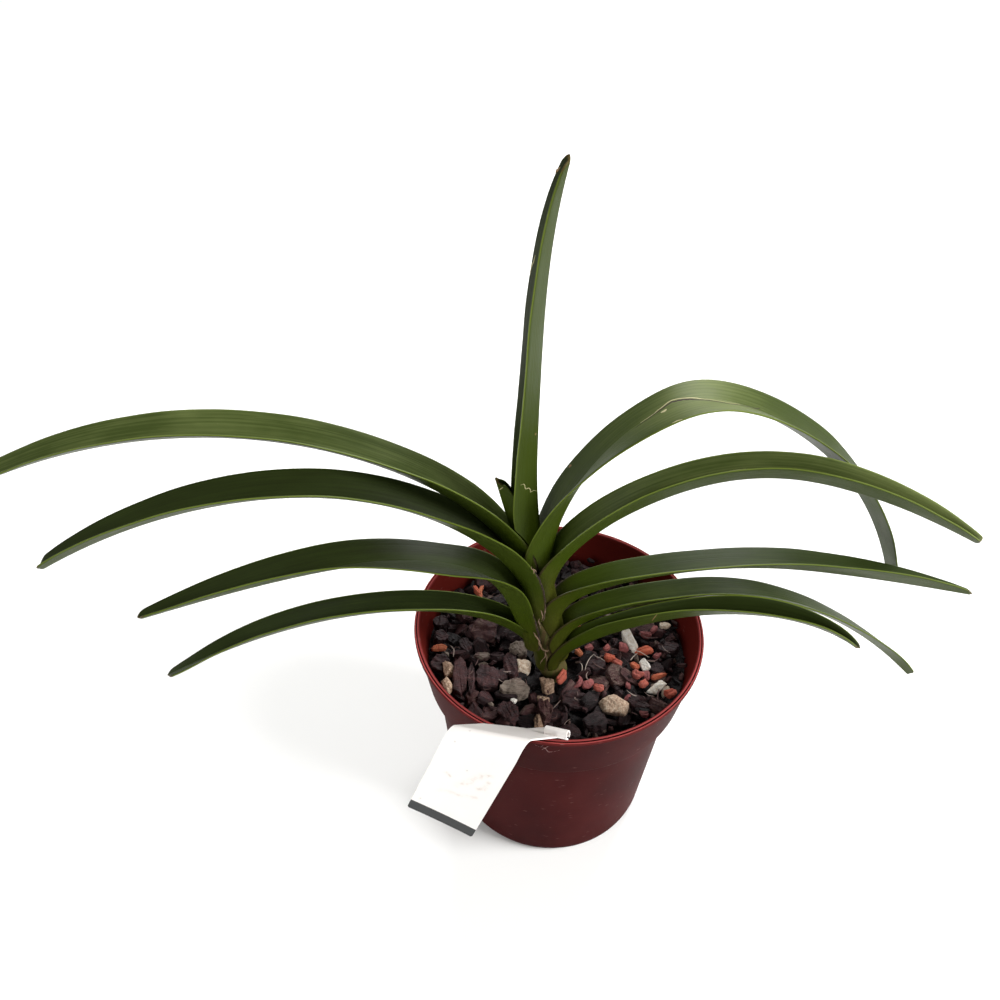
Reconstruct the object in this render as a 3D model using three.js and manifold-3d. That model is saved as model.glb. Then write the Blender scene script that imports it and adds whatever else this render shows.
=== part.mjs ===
// Potted strap-leaved orchid: a tapered nursery pot, a bark medium, a short stem, eleven keeled
// leaves in two ranks and a blank stake label. Millimetres, +Z up, origin at the middle of the pot foot.
import * as THREE from 'three';
import { mergeVertices } from 'three/addons/utils/BufferGeometryUtils.js';
import Module from 'manifold-3d';

// Driving dimensions of the pot
const potHeight = 114;
const rimRadius = 65;
const collarTopRadius = 64;
const collarFootRadius = 59.9;
const collarFootHeight = 85.3;
const bodyTopRadius = 56;
const footRadius = 48.9;
const footRound = 4;
const footRoundShare = 0.3;
const potWall = 1.5;
const potFloor = 2;
const beadHeight = 2.4;
const beadRound = 0.6;
const beadOverhang = 1;
const potSides = 48;
const drainCount = 8;
const drainRadius = 4.5;
const drainRing = 33;
const drainSides = 12;

// Driving dimensions of the stem and the medium
const gap = 0.3;
const mediumTop = 99;
const stemFoot = [-2.3, -15.8, 100];
const stemLean = [-0.19, 0.02, 1];
const stemTopHeight = 166;
const stemDepth = 36;
const stemHalfWide = 6;
const stemHalfDeep = 2.9;
const stemPegRadius = 4.2;
const stemSides = 14;

// Driving dimensions shared by the leaves
const keelThick = 1.5;
const marginThick = 0.9;
const openKeelRadius = 1.2;
const keelOpensOver = 0.2;
const footShareLength = 0.18;
const footRise = 0.8;
const taperStart = 0.55;
const biteStart = 0.88;
const notchDepth = 0.8;
const notchHalfShare = 0.16;
const shortLobe = 1.6;
const shortLobeStart = 0.3;
const endRounding = 3.6;
const endRoundness = 0.98;
const sheathNarrowing = 0.35;
const sheathNarrowsOver = 10;

const degree = Math.PI / 180;
const kernel = await Module();
kernel.setup();

function makeRandom(seed) {
  let state = seed;
  return () => {
    state = (state * 1664525 + 1013904223) % 4294967296;
    return state / 4294967296;
  };
}

function between(random, low, high) {
  return low + (high - low) * random();
}

function clamp(value, low, high) {
  return Math.min(high, Math.max(low, value));
}

// Smooth curve through hand-set values at rising stations, without overshoot.
function smoothThrough(stations, values) {
  const count = stations.length;
  const step = [];
  const rate = [];
  for (let i = 0; i < count - 1; i += 1) {
    step.push(stations[i + 1] - stations[i]);
    rate.push((values[i + 1] - values[i]) / step[i]);
  }
  const slope = new Array(count).fill(0);
  for (let i = 1; i < count - 1; i += 1) {
    if (rate[i - 1] * rate[i] > 0) {
      const first = 2 * step[i] + step[i - 1];
      const second = step[i] + 2 * step[i - 1];
      slope[i] = (first + second) / (first / rate[i - 1] + second / rate[i]);
    }
  }
  slope[0] = endSlope(step[0], step[1], rate[0], rate[1]);
  slope[count - 1] = endSlope(step[count - 2], step[count - 3], rate[count - 2], rate[count - 3]);
  return (at) => {
    const x = clamp(at, stations[0], stations[count - 1]);
    let k = 0;
    while (k < count - 2 && x > stations[k + 1]) {
      k += 1;
    }
    const u = (x - stations[k]) / step[k];
    const u2 = u * u;
    const u3 = u2 * u;
    return (2 * u3 - 3 * u2 + 1) * values[k] + (u3 - 2 * u2 + u) * step[k] * slope[k]
      + (3 * u2 - 2 * u3) * values[k + 1] + (u3 - u2) * step[k] * slope[k + 1];
  };
}

function endSlope(nearStep, farStep, nearRate, farRate) {
  const slope = ((2 * nearStep + farStep) * nearRate - nearStep * farRate) / (nearStep + farStep);
  if (slope * nearRate <= 0) {
    return 0;
  }
  if (nearRate * farRate <= 0 && Math.abs(slope) > 3 * Math.abs(nearRate)) {
    return 3 * nearRate;
  }
  return slope;
}

function solidFrom(geometry) {
  const bare = geometry.clone();
  bare.deleteAttribute('normal');
  bare.deleteAttribute('uv');
  const merged = mergeVertices(bare, 1e-4);
  const mesh = new kernel.Mesh({
    numProp: 3,
    vertProperties: new Float32Array(merged.attributes.position.array),
    triVerts: new Uint32Array(merged.index.array),
  });
  return new kernel.Manifold(mesh);
}

function largestBody(body) {
  const bodies = body.decompose();
  bodies.sort((a, b) => b.volume() - a.volume());
  return bodies[0];
}

// A turned solid from [radius, height] pairs that start and end on the axis.
function turnedSolid(profile, sides) {
  const lathe = new THREE.LatheGeometry(profile.map(([r, z]) => new THREE.Vector2(r, z)), sides);
  lathe.rotateX(Math.PI / 2);
  return solidFrom(lathe);
}

// Triangles of a closed sheet given as two layers of rows by columns.
function sheetTriangles(rows, columns) {
  const layerSize = rows * columns;
  const at = (layer, row, column) => layer * layerSize + row * columns + column;
  const triangles = [];
  const quad = (a, b, c, d) => {
    triangles.push([a, b, c], [a, c, d]);
  };
  const last = columns - 1;
  const end = rows - 1;
  for (let r = 0; r < end; r += 1) {
    for (let c = 0; c < last; c += 1) {
      quad(at(0, r, c), at(0, r, c + 1), at(0, r + 1, c + 1), at(0, r + 1, c));
      quad(at(1, r, c), at(1, r + 1, c), at(1, r + 1, c + 1), at(1, r, c + 1));
    }
    quad(at(0, r, 0), at(0, r + 1, 0), at(1, r + 1, 0), at(1, r, 0));
    quad(at(0, r, last), at(1, r, last), at(1, r + 1, last), at(0, r + 1, last));
  }
  for (let c = 0; c < last; c += 1) {
    quad(at(0, 0, c), at(1, 0, c), at(1, 0, c + 1), at(0, 0, c + 1));
    quad(at(0, end, c), at(0, end, c + 1), at(1, end, c + 1), at(1, end, c));
  }
  return triangles;
}

// A solid from points and triangles, turned so that its faces look outwards.
function outwardBody(points, triangles) {
  let volume = 0;
  for (const [a, b, c] of triangles) {
    const [p, q, r] = [points[a], points[b], points[c]];
    volume += p[0] * (q[1] * r[2] - q[2] * r[1]) + p[1] * (q[2] * r[0] - q[0] * r[2])
      + p[2] * (q[0] * r[1] - q[1] * r[0]);
  }
  const facing = volume > 0 ? triangles : triangles.map(([a, b, c]) => [a, c, b]);
  const geometry = new THREE.BufferGeometry();
  geometry.setAttribute('position', new THREE.Float32BufferAttribute(points.flat(), 3));
  geometry.setIndex(facing.flat());
  return solidFrom(geometry);
}

// Middle of the stem at a height: upright in the medium, leaning above it.
function stemPoint(height) {
  const rise = Math.max(0, height - stemFoot[2]);
  return [stemFoot[0] + stemLean[0] * rise, stemFoot[1] + stemLean[1] * rise, height];
}

// The hollow of the pot from its floor up to a height, held back from the wall by a margin.
function insideProfile(margin, height) {
  const ledge = collarFootHeight + potWall;
  const mouth = rimRadius - beadOverhang - potWall;
  const collarInside = collarFootRadius - potWall;
  const rise = (height - ledge) / (potHeight - ledge);
  return [
    [0, potFloor + margin],
    [footRadius - footRound, potFloor + margin],
    [footRadius - potWall - margin, potFloor + footRound / 2 + margin],
    [bodyTopRadius - potWall - margin, ledge + margin],
    [collarInside - margin, ledge + margin],
    [collarInside + (mouth - collarInside) * rise - margin, height],
  ];
}

// Pot: a turned wall with a stepped collar, a rolled bead and drain holes through its floor.
function buildPot() {
  const outside = [
    [0, 0],
    [footRadius - footRound, 0],
    [footRadius - footRound * footRoundShare, footRound * footRoundShare],
    [footRadius, footRound],
    [bodyTopRadius, collarFootHeight],
    [collarFootRadius, collarFootHeight],
    [collarTopRadius, potHeight - beadHeight],
    [rimRadius, potHeight - beadHeight],
    [rimRadius, potHeight - beadRound],
    [rimRadius - beadRound, potHeight],
  ];
  let pot = turnedSolid([...outside, ...insideProfile(0, potHeight).reverse()], potSides);
  for (let i = 0; i < drainCount; i += 1) {
    const turn = ((i + 0.5) / drainCount) * 2 * Math.PI;
    const drill = new THREE.CylinderGeometry(drainRadius, drainRadius, potFloor * 3, drainSides);
    drill.rotateX(Math.PI / 2);
    drill.translate(drainRing * Math.cos(turn), drainRing * Math.sin(turn), potFloor / 2);
    pot = pot.subtract(solidFrom(drill));
  }
  return pot;
}

// A leaf follows its keel. The keel leaves the stem at a node, runs up beside the stem as a sheath,
// then climbs at the angles in "climb" (degrees above level) and points along "heading" (degrees
// back from sideways at the foot, at the tip and the bow between). The cross-section is folded:
// "fold" is the angle of each half from the fold plane. "roll" turns the section about the keel.
const commonStations = [0, 0.12, 0.35, 0.65, 1];
const kinkedStations = [0, 0.14, 0.36, 0.46, 0.7, 1];

const leafList = [
  {
    name: 'leaf_right_5', side: 1, node: 105.3, offset: 4.3, sheath: 2, length: 141.2, half: 8.5, foot: 0.94,
    tip: 0.27, heading: [-8.7, -4.4, 2.6], climb: [73.3, 41.9, 25, -2.1, -40.5],
    fold: [14, 13, 16, 27, 12], roll: [14.7, -25.7], hug: 4.8,
  },
  {
    name: 'leaf_left_4', side: -1, node: 107.7, offset: 7.3, sheath: 5, length: 183.2, half: 8.7, foot: 0.85,
    tip: 0.35, heading: [-5.3, -7, 4], climb: [86, 41, 1.6, -19.6, -30.5],
    fold: [25, 25, 45, 45, 77], roll: [3, 6], hug: 4.8,
  },
  {
    name: 'leaf_right_4', side: 1, node: 117.4, offset: 8, sheath: 9, length: 185.7, half: 9.8, foot: 0.99,
    tip: 0.48, heading: [1.7, -2.1, 2.8], climb: [84.2, 25.2, 4.8, -28, -46.1],
    fold: [19, 45, 58, 75, 56], roll: [14.8, 27], hug: 4.6,
  },
  {
    name: 'leaf_left_3', side: -1, node: 120.8, offset: 10.3, sheath: 4, length: 183.9, half: 10.8,
    foot: 0.8, tip: 0.33, heading: [-14.3, -6.4, -0.3], climb: [74.4, 72, 20.1, -9.3, -17.3],
    fold: [24, 27, 75, 48, 56], roll: [2.1, 10.6], hug: 4.6,
  },
  {
    name: 'leaf_right_3', side: 1, node: 132.8, offset: 8, sheath: 10, length: 188, half: 11.1, foot: 0.97,
    tip: 0.25, heading: [-2.2, 4.7, 1.7], climb: [84.1, 28.2, 7.4, -11.6, -15.5],
    fold: [12, 50, 64, 56, 38], roll: [18.1, 27.3], hug: 4.5,
  },
  {
    name: 'leaf_left_2', side: -1, node: 138, offset: 5.9, sheath: 4, length: 219, half: 11.6, foot: 0.78,
    tip: 0.47, heading: [-11, -6, -1.4], climb: [87.6, 59.6, 29.7, -5.3, -31],
    fold: [14, 29, 57, 57, 56], roll: [2.4, 11.9], hug: 4.4,
  },
  {
    name: 'leaf_right_2', side: 1, node: 151.4, offset: 7.7, sheath: 10, length: 203, half: 10.9, foot: 1,
    tip: 0.38, heading: [3.2, 3.9, -1.4], climb: [83.9, 51.4, 22.6, -17.7, -29.6],
    fold: [13, 39, 26, 20, 13], roll: [11.6, -29.3], hug: 4.4,
  },
  {
    name: 'leaf_left_1', side: -1, node: 156.7, offset: 6, sheath: 4, length: 236.8, half: 11.6, foot: 0.8,
    tip: 0.63, heading: [-3.7, 1.2, 5.9], climb: [81, 51.9, 19.4, -7.3, -24],
    fold: [14, 44, 58, 56, 61], roll: [19, -4.9], hug: 4.3,
  },
  {
    name: 'leaf_right_1', side: 1, node: 154.5, offset: 6, sheath: 5, length: 252, half: 12.7, foot: 1,
    tip: 0.66, heading: [2.8, 7.1, 5.3], climb: [92.2, 73.2, 29.2, -17.4, -44.5, -66.5],
    fold: [13, 54, 85, 77, 65, 64], roll: [20.5, -13], hug: 4.2, kinked: true,
  },
  {
    name: 'leaf_centre', side: 1, node: 163.5, offset: 4.9, sheath: 5, length: 160.8, half: 11.6, foot: 0.95,
    tip: 0.26, heading: [1.2, -0.8, -1], climb: [95.2, 96.4, 90.9, 89, 77.6],
    fold: [14, 19, 45, 60, 50], roll: [-4.7, -2.4], hug: 4,
  },
  {
    name: 'leaf_new', side: -1, node: 169, offset: 6, sheath: 2, length: 39, half: 7.1, foot: 0.95,
    tip: 0.3, heading: [-1, -1, -1], climb: [84, 83, 78, 76, 76],
    fold: [13, 14, 18, 20, 26], roll: [3, 9], hug: 2.4,
  },
];

const acrossStations = [-1, -0.6, -0.25, 0, 0.25, 0.6, 1];
const lengthwiseCount = 21;
const lengthwiseCrowding = 1.12;
const keelSteps = 240;

function lengthStations(sheath, length) {
  const list = [-sheath];
  for (let i = 0; i <= lengthwiseCount; i += 1) {
    list.push(length * (i / lengthwiseCount) ** lengthwiseCrowding);
  }
  return list;
}

// Width share along the blade: narrow at the foot, full by a fifth of the length, tapered at the end.
function widthShare(share, foot, tip) {
  const rising = foot + (1 - foot) * clamp(share / footShareLength, 0, 1) ** footRise;
  const taper = clamp((share - taperStart) / (1 - taperStart), 0, 1);
  return rising * (1 - (1 - tip) * taper * taper);
}

// Below the foot the sheath narrows downwards, so that the older sheath beneath it shows.
function sheathShare(reach) {
  return 1 - sheathNarrowing * clamp(-reach / sheathNarrowsOver, 0, 1);
}

// The end of a blade is round, with a notch at the fold, and its near lobe is the shorter one.
function tipSetback(across) {
  const notch = notchDepth * Math.exp(-((across / notchHalfShare) ** 2));
  const nearLobe = shortLobe * clamp(across / shortLobeStart, 0, 1);
  const rounding = endRounding * (1 - Math.sqrt(1 - endRoundness * across * across));
  return notch + nearLobe + rounding;
}

function keelFrames(leaf) {
  const stations = leaf.kinked ? kinkedStations : commonStations;
  const climbAt = smoothThrough(stations, leaf.climb);
  const foldAt = smoothThrough(stations, leaf.fold);
  const headingAt = (share) => {
    const bow = leaf.heading[2] * 4 * share * (1 - share);
    return (leaf.heading[0] + (leaf.heading[1] - leaf.heading[0]) * share + bow) * degree;
  };
  const directionAt = (share) => {
    const heading = headingAt(share);
    const climb = climbAt(share) * degree;
    return new THREE.Vector3(
      leaf.side * Math.cos(heading) * Math.cos(climb),
      Math.sin(heading) * Math.cos(climb),
      Math.sin(climb),
    );
  };
  const firstHeading = headingAt(0);
  const start = new THREE.Vector3(...stemPoint(leaf.node));
  start.x += leaf.offset * leaf.side * Math.cos(firstHeading);
  start.y += leaf.offset * Math.sin(firstHeading);
  const track = [start];
  for (let i = 1; i <= keelSteps; i += 1) {
    const middle = directionAt((i - 0.5) / keelSteps);
    track.push(track[i - 1].clone().addScaledVector(middle, leaf.length / keelSteps));
  }
  return (along) => {
    const share = clamp(along / leaf.length, 0, 1);
    const spot = share * keelSteps;
    const k = Math.min(keelSteps - 1, Math.floor(spot));
    const keel = track[k].clone().lerp(track[k + 1], spot - k);
    const direction = directionAt(share);
    if (along < 0) {
      direction.set(...stemLean).normalize();
      keel.addScaledVector(direction, along);
    }
    const heading = headingAt(share);
    const level = new THREE.Vector3(leaf.side * Math.sin(heading), -Math.cos(heading), 0);
    const inward = level.clone().cross(direction).multiplyScalar(leaf.side).normalize();
    const across = direction.clone().cross(inward).multiplyScalar(leaf.side).normalize();
    const roll = (leaf.roll[0] + (leaf.roll[1] - leaf.roll[0]) * share) * degree;
    const near = across.clone().multiplyScalar(Math.cos(roll)).addScaledVector(inward, Math.sin(roll));
    const up = inward.clone().multiplyScalar(Math.cos(roll)).addScaledVector(across, -Math.sin(roll));
    return { keel, near, up, fold: foldAt(share) * degree };
  };
}

// Section of one half: a round keel, then a straight blade. Returns distance sideways and up,
// and the slant of the surface, for a walk of the given length from the keel.
function sectionAt(walk, keelRadius, fold) {
  const bend = Math.PI / 2 - fold;
  const arc = keelRadius * bend;
  if (walk < arc) {
    const slant = walk / keelRadius;
    return [keelRadius * Math.sin(slant), keelRadius * (1 - Math.cos(slant)), slant];
  }
  const rest = walk - arc;
  return [
    keelRadius * Math.sin(bend) + rest * Math.cos(bend),
    keelRadius * (1 - Math.cos(bend)) + rest * Math.sin(bend),
    bend,
  ];
}

// Swell fattens the blade on every side, to leave room round it in its neighbours.
function buildLeaf(leaf, swell) {
  const frameAt = keelFrames(leaf);
  const along = lengthStations(leaf.sheath + swell, leaf.length + swell);
  const points = [];
  for (const layer of [0, 1]) {
    for (const reach of along) {
      const share = clamp(reach / leaf.length, 0, 1);
      const late = clamp((share - biteStart) / (1 - biteStart), 0, 1);
      const half = leaf.half * widthShare(share, leaf.foot, leaf.tip) * sheathShare(reach) + swell;
      const opening = clamp(share / keelOpensOver, 0, 1);
      const keelRadius = leaf.hug + (openKeelRadius - leaf.hug) * opening;
      for (const across of acrossStations) {
        const frame = frameAt(Math.min(reach, leaf.length) - tipSetback(across) * late * late);
        const walk = Math.abs(across) * half;
        const [sideways, upward, slant] = sectionAt(walk, keelRadius, frame.fold);
        const thick = keelThick + (marginThick - keelThick) * Math.abs(across) + 2 * swell;
        const lift = layer * thick - swell;
        const outX = (sideways - lift * Math.sin(slant)) * Math.sign(across);
        const outZ = upward + lift * Math.cos(slant);
        const point = frame.keel.clone().addScaledVector(frame.near, outX).addScaledVector(frame.up, outZ);
        if (reach > leaf.length) {
          const onward = frame.near.clone().cross(frame.up).multiplyScalar(leaf.side);
          point.addScaledVector(onward, -swell);
        }
        points.push([point.x, point.y, point.z]);
      }
    }
  }
  return outwardBody(points, sheetTriangles(along.length, acrossStations.length));
}

// Stem: a flat core between the sheaths, widest where it leaves the medium, on a round peg.
const stemPegTaper = 3;
const stemPegTipShare = 0.7;
const stemPegTopDrop = 4;
const stemBaseRise = 3;
const stemBaseWider = 0.8;
const stemBaseDeeper = 1.2;
const stemWaistRise = 8;
const stemShoulderRise = 42;
const stemTopWideShare = 0.5;
const stemTopDeepShare = 0.6;

function buildStemCore() {
  const pegFoot = mediumTop - stemDepth;
  const levels = [
    [pegFoot, stemPegTipShare * stemPegRadius, stemPegTipShare * stemPegRadius],
    [pegFoot + stemPegTaper, stemPegRadius, stemPegRadius],
    [mediumTop - stemPegTopDrop, stemPegRadius, stemPegRadius],
    [mediumTop + stemBaseRise, stemHalfWide + stemBaseWider, stemHalfDeep + stemBaseDeeper],
    [mediumTop + stemWaistRise, stemHalfWide, stemHalfDeep],
    [mediumTop + stemShoulderRise, stemHalfWide, stemHalfDeep],
    [stemTopHeight, stemTopWideShare * stemHalfWide, stemTopDeepShare * stemHalfDeep],
  ];
  const points = [];
  for (const [height, halfWide, halfDeep] of levels) {
    const [x, y] = stemPoint(height);
    for (let i = 0; i < stemSides; i += 1) {
      const turn = (i / stemSides) * 2 * Math.PI;
      points.push([x + halfWide * Math.cos(turn), y + halfDeep * Math.sin(turn), height]);
    }
  }
  const triangles = [];
  for (let r = 0; r < levels.length - 1; r += 1) {
    for (let i = 0; i < stemSides; i += 1) {
      const j = (i + 1) % stemSides;
      const low = r * stemSides;
      const high = low + stemSides;
      triangles.push([low + i, low + j, high + j], [low + i, high + j, high + i]);
    }
  }
  const top = (levels.length - 1) * stemSides;
  for (let i = 1; i < stemSides - 1; i += 1) {
    triangles.push([0, i + 1, i], [top, top + i, top + i + 1]);
  }
  return outwardBody(points, triangles);
}

// Medium: a bed that fills the pot, with bark, stones and feed pellets rooted in its top.
const looseSeed = 11;
const barkCount = 66;
const barkSpread = 56;
const barkJitter = 1.5;
const barkLengths = [11, 18];
const barkWidths = [7, 13];
const barkHeights = [5, 8];
const barkTilt = 0.55;
const barkLifts = [-1.9, -0.3];
const barkStemMargin = 3;
const barkBitMargin = 4.5;
const cornerLengthShare = 0.68;
const cornerWidthShare = 0.72;
const crumbCount = 10;
const crumbSpread = 54;
const crumbSizes = [3.5, 6];
const crumbLengthShare = 1.5;
const crumbTilt = [0.5, 0.3];
const crumbLift = 0.4;
const crumbStemMargin = 2;
const crumbBitMargin = 3.5;
const placedBarkTilt = [0.12, -0.1];
const placedBarkSunk = 3;
const placedBarkLift = -0.4;
const placedStoneSunk = 1;
const placedStoneLift = 1;
const pelletTilt = [0, 0.3];
const bedSink = 2.6;
const bareRingAroundStem = 8.5;
const socketMouthRadius = 8.5;
const socketFlareRise = 2;
const goldenTurn = 2.399963;
const pelletSize = [5.4, 3.4, 3.6];
const pelletRise = 2.2;

// Stones and bark placed one by one: [x, y, length, width, height, turn in degrees].
const placedStones = [
  [-15, -15, 7, 7, 6, 0],
  [-4.5, -25.5, 7, 5.5, 8, 10],
  [24.5, -34.5, 10.5, 9, 8, 30],
  [38.5, -13.5, 5.5, 6, 5, 0],
  [33.5, 0, 6, 10, 4, 20],
  [42.5, -26, 6, 4, 4, 50],
  [-48.5, -19, 6, 4, 4, 10],
  [-47.5, -26, 4, 6, 5, 60],
];
const placedBark = [
  [-7, -40, 7, 13, 6, 4],
  [-19.5, -28.5, 12, 8, 5, -5],
  [-33, 1, 14, 12, 6, 20],
  [-42.5, -20, 11, 14, 6, -15],
  [-31.5, -21.5, 12, 9, 5, 35],
  [31, -31, 12, 9, 5, 20],
  [21, -18, 10, 8, 5, 60],
];
const pelletPlaces = [
  [-53, -7], [39, -5], [23, -10], [30, -4], [26, -13], [34, -14], [12, -25], [8, -23], [17, -27],
  [3, -27], [45, -20], [39, -20], [34, -20], [36, -25], [48, -29], [11, 7], [-37, 32], [-20, 24],
  [15, -5], [47, -9], [3, 18], [20, -22], [29, -22], [-29, 36],
];

function settle(geometry, tilt, turn, x, y, z) {
  geometry.rotateX(tilt[0]);
  geometry.rotateY(tilt[1]);
  geometry.rotateZ(turn);
  geometry.translate(x, y, z);
  return solidFrom(geometry);
}

// A split flake of bark: a block whose corners are pulled in unevenly.
function barkFlake(length, width, height, random) {
  const block = new THREE.BoxGeometry(length, width, height);
  block.deleteAttribute('normal');
  block.deleteAttribute('uv');
  const flake = mergeVertices(block);
  const corners = flake.attributes.position;
  for (let i = 0; i < corners.count; i += 1) {
    const lengthShare = between(random, cornerLengthShare, 1);
    const widthShareHere = between(random, cornerWidthShare, 1);
    corners.setXYZ(i, corners.getX(i) * lengthShare, corners.getY(i) * widthShareHere, corners.getZ(i));
  }
  return flake;
}

function roundStone(length, width, height) {
  const stone = new THREE.IcosahedronGeometry(0.5, 0);
  stone.scale(length, width, height);
  return stone;
}

// Whether a loose bit at x, y keeps clear of the stem and of the bits placed one by one.
function clearSpot(x, y, stemMargin, bitMargin) {
  if (Math.hypot(x - stemFoot[0], y - stemFoot[1]) < bareRingAroundStem + stemMargin) {
    return false;
  }
  const placed = placedStones.concat(placedBark);
  return placed.every(([px, py]) => Math.hypot(x - px, y - py) >= bitMargin);
}

function scatteredBark(random) {
  const pieces = [];
  for (let i = 0; i < barkCount; i += 1) {
    const radius = barkSpread * Math.sqrt((i + 0.5) / barkCount);
    const x = radius * Math.cos(i * goldenTurn) + between(random, -barkJitter, barkJitter);
    const y = radius * Math.sin(i * goldenTurn) + between(random, -barkJitter, barkJitter);
    const length = between(random, ...barkLengths);
    const width = between(random, ...barkWidths);
    const height = between(random, ...barkHeights);
    const tilt = [between(random, -barkTilt, barkTilt), between(random, -barkTilt, barkTilt)];
    const lift = between(random, ...barkLifts);
    const turn = between(random, 0, Math.PI);
    const flake = barkFlake(length, width, height, random);
    if (clearSpot(x, y, barkStemMargin, barkBitMargin)) {
      pieces.push(settle(flake, tilt, turn, x, y, mediumTop + lift));
    }
  }
  return pieces;
}

function scatteredCrumbs(random) {
  const pieces = [];
  for (let i = 0; i < crumbCount; i += 1) {
    const radius = crumbSpread * Math.sqrt(random());
    const bearing = between(random, 0, 2 * Math.PI);
    const x = radius * Math.cos(bearing);
    const y = radius * Math.sin(bearing);
    const size = between(random, ...crumbSizes);
    const turn = between(random, 0, Math.PI);
    const crumb = barkFlake(size * crumbLengthShare, size, size, random);
    if (clearSpot(x, y, crumbStemMargin, crumbBitMargin)) {
      pieces.push(settle(crumb, crumbTilt, turn, x, y, mediumTop + crumbLift));
    }
  }
  return pieces;
}

function looseLayer() {
  const random = makeRandom(looseSeed);
  const pieces = [...scatteredBark(random), ...scatteredCrumbs(random)];
  for (const [x, y, length, width, height, turn] of placedBark) {
    const flake = barkFlake(length, width, height + placedBarkSunk, random);
    pieces.push(settle(flake, placedBarkTilt, turn * degree, x, y, mediumTop + placedBarkLift));
  }
  for (const [x, y, length, width, height, turn] of placedStones) {
    const stone = roundStone(length, width, height + placedStoneSunk);
    pieces.push(settle(stone, [0, 0], turn * degree, x, y, mediumTop + placedStoneLift));
  }
  for (const [x, y] of pelletPlaces) {
    const turn = between(random, 0, Math.PI);
    pieces.push(settle(roundStone(...pelletSize), pelletTilt, turn, x, y, mediumTop + pelletRise));
  }
  return pieces;
}

function buildMedium() {
  const bedTop = mediumTop - bedSink;
  let medium = turnedSolid([...insideProfile(gap, bedTop), [0, bedTop]], potSides);
  for (const piece of looseLayer()) {
    medium = medium.add(piece);
  }
  const room = turnedSolid([...insideProfile(gap, potHeight), [0, potHeight]], potSides);
  medium = medium.intersect(room);
  const socketFoot = mediumTop - stemDepth - gap;
  const socket = turnedSolid([
    [0, socketFoot],
    [stemPegRadius + gap, socketFoot],
    [stemPegRadius + gap, mediumTop - stemPegTopDrop],
    [socketMouthRadius, mediumTop + socketFlareRise],
    [socketMouthRadius, potHeight],
    [0, potHeight],
  ], stemSides);
  return medium.subtract(socket.translate([stemFoot[0], stemFoot[1], 0]));
}

// Label: a blank plastic stake label. The sheet climbs out of the medium at a slant, passes over
// the rim, bends and hangs outside. The bend runs along the rim while the sheet crosses it askew.
const labelThick = 0.8;
const labelWidth = 28.5;
const labelBearing = -103.7;
const labelSkew = 19.3;
const labelSide = 1.2;
const labelClimb = 48;
const labelDrop = -78;
const labelRimReach = 60.9;
const labelBendRadius = 2.6;
const labelBendStart = 30;
const labelBendHalfLength = 3;
const labelBendStep = 0.95;
const labelBendSteps = 4;
const labelHeadEnd = 83.5;
const labelHeadStraight = 22;
const labelShoulder = 1;
const labelShoulderLength = 9;
const labelNeckLength = 8;
const labelStakeEnd = -38;
const labelStakeWidth = 10;
const labelStakeShift = 3;
const labelPointLength = 6;
const labelPointHalf = 0.8;
const labelNeckAskew = 0.5;
const labelHeadAskew = 0.4;
const labelCurlRadius = 2.1;
const labelCurlAlong = 3;
const labelCurlLeft = 1.5;
const labelCurlRight = 12.5;
const labelCurlFrom = -110;
const labelCurlSweep = 250;
const labelCurlSteps = 8;
const labelColumns = 5;

function labelProfile(along) {
  const climb = labelClimb * degree;
  const drop = labelDrop * degree;
  const bendLength = labelBendRadius * (climb - drop);
  const rimHeight = potHeight + 2 * gap + labelThick;
  const straight = Math.min(along, labelBendStart);
  let out = labelRimReach + straight * Math.cos(climb);
  let high = rimHeight + straight * Math.sin(climb);
  let slope = climb;
  if (along > labelBendStart) {
    const turned = clamp((along - labelBendStart) / labelBendRadius, 0, climb - drop);
    slope = climb - turned;
    out += labelBendRadius * (Math.sin(climb) - Math.sin(slope));
    high += labelBendRadius * (Math.cos(slope) - Math.cos(climb));
    const rest = Math.max(0, along - labelBendStart - bendLength);
    out += rest * Math.cos(slope);
    high += rest * Math.sin(slope);
  }
  return { out, high, slope };
}

function labelPoint(along, sideways, lift) {
  const skew = labelSkew * degree;
  const bearing = labelBearing * degree;
  const outward = new THREE.Vector3(Math.cos(bearing), Math.sin(bearing), 0);
  const level = new THREE.Vector3(-Math.sin(bearing), Math.cos(bearing), 0);
  const run = along * Math.cos(skew) + sideways * Math.sin(skew);
  const shift = labelSide + sideways * Math.cos(skew) - along * Math.sin(skew);
  const { out, high, slope } = labelProfile(run);
  const point = outward.multiplyScalar(out - lift * Math.sin(slope)).addScaledVector(level, shift);
  point.z = high + lift * Math.cos(slope);
  return point;
}

// Rows as [along, left edge, right edge, askew]: askew rows lie along the bend, plain ones across.
function labelRows() {
  const half = labelWidth / 2;
  const stakeLeft = labelStakeShift - labelStakeWidth / 2;
  const stakeRight = labelStakeShift + labelStakeWidth / 2;
  const rows = [
    [labelStakeEnd, labelStakeShift - labelPointHalf, labelStakeShift + labelPointHalf, 0],
    [labelStakeEnd + labelPointLength, stakeLeft, stakeRight, 0],
    [labelShoulder - labelShoulderLength, stakeLeft, stakeRight, 0],
    [labelShoulder, -half, half, 0],
    [labelShoulder + labelNeckLength, -half, half, labelNeckAskew],
  ];
  const bendMiddle = (labelBendStart + labelBendHalfLength) / Math.cos(labelSkew * degree);
  for (let step = -labelBendSteps; step <= labelBendSteps; step += 1) {
    rows.push([bendMiddle + step * labelBendStep, -half, half, 1]);
  }
  rows.push([labelHeadEnd - labelHeadStraight, -half, half, labelHeadAskew]);
  rows.push([labelHeadEnd, -half, half, 0]);
  return rows;
}

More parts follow.
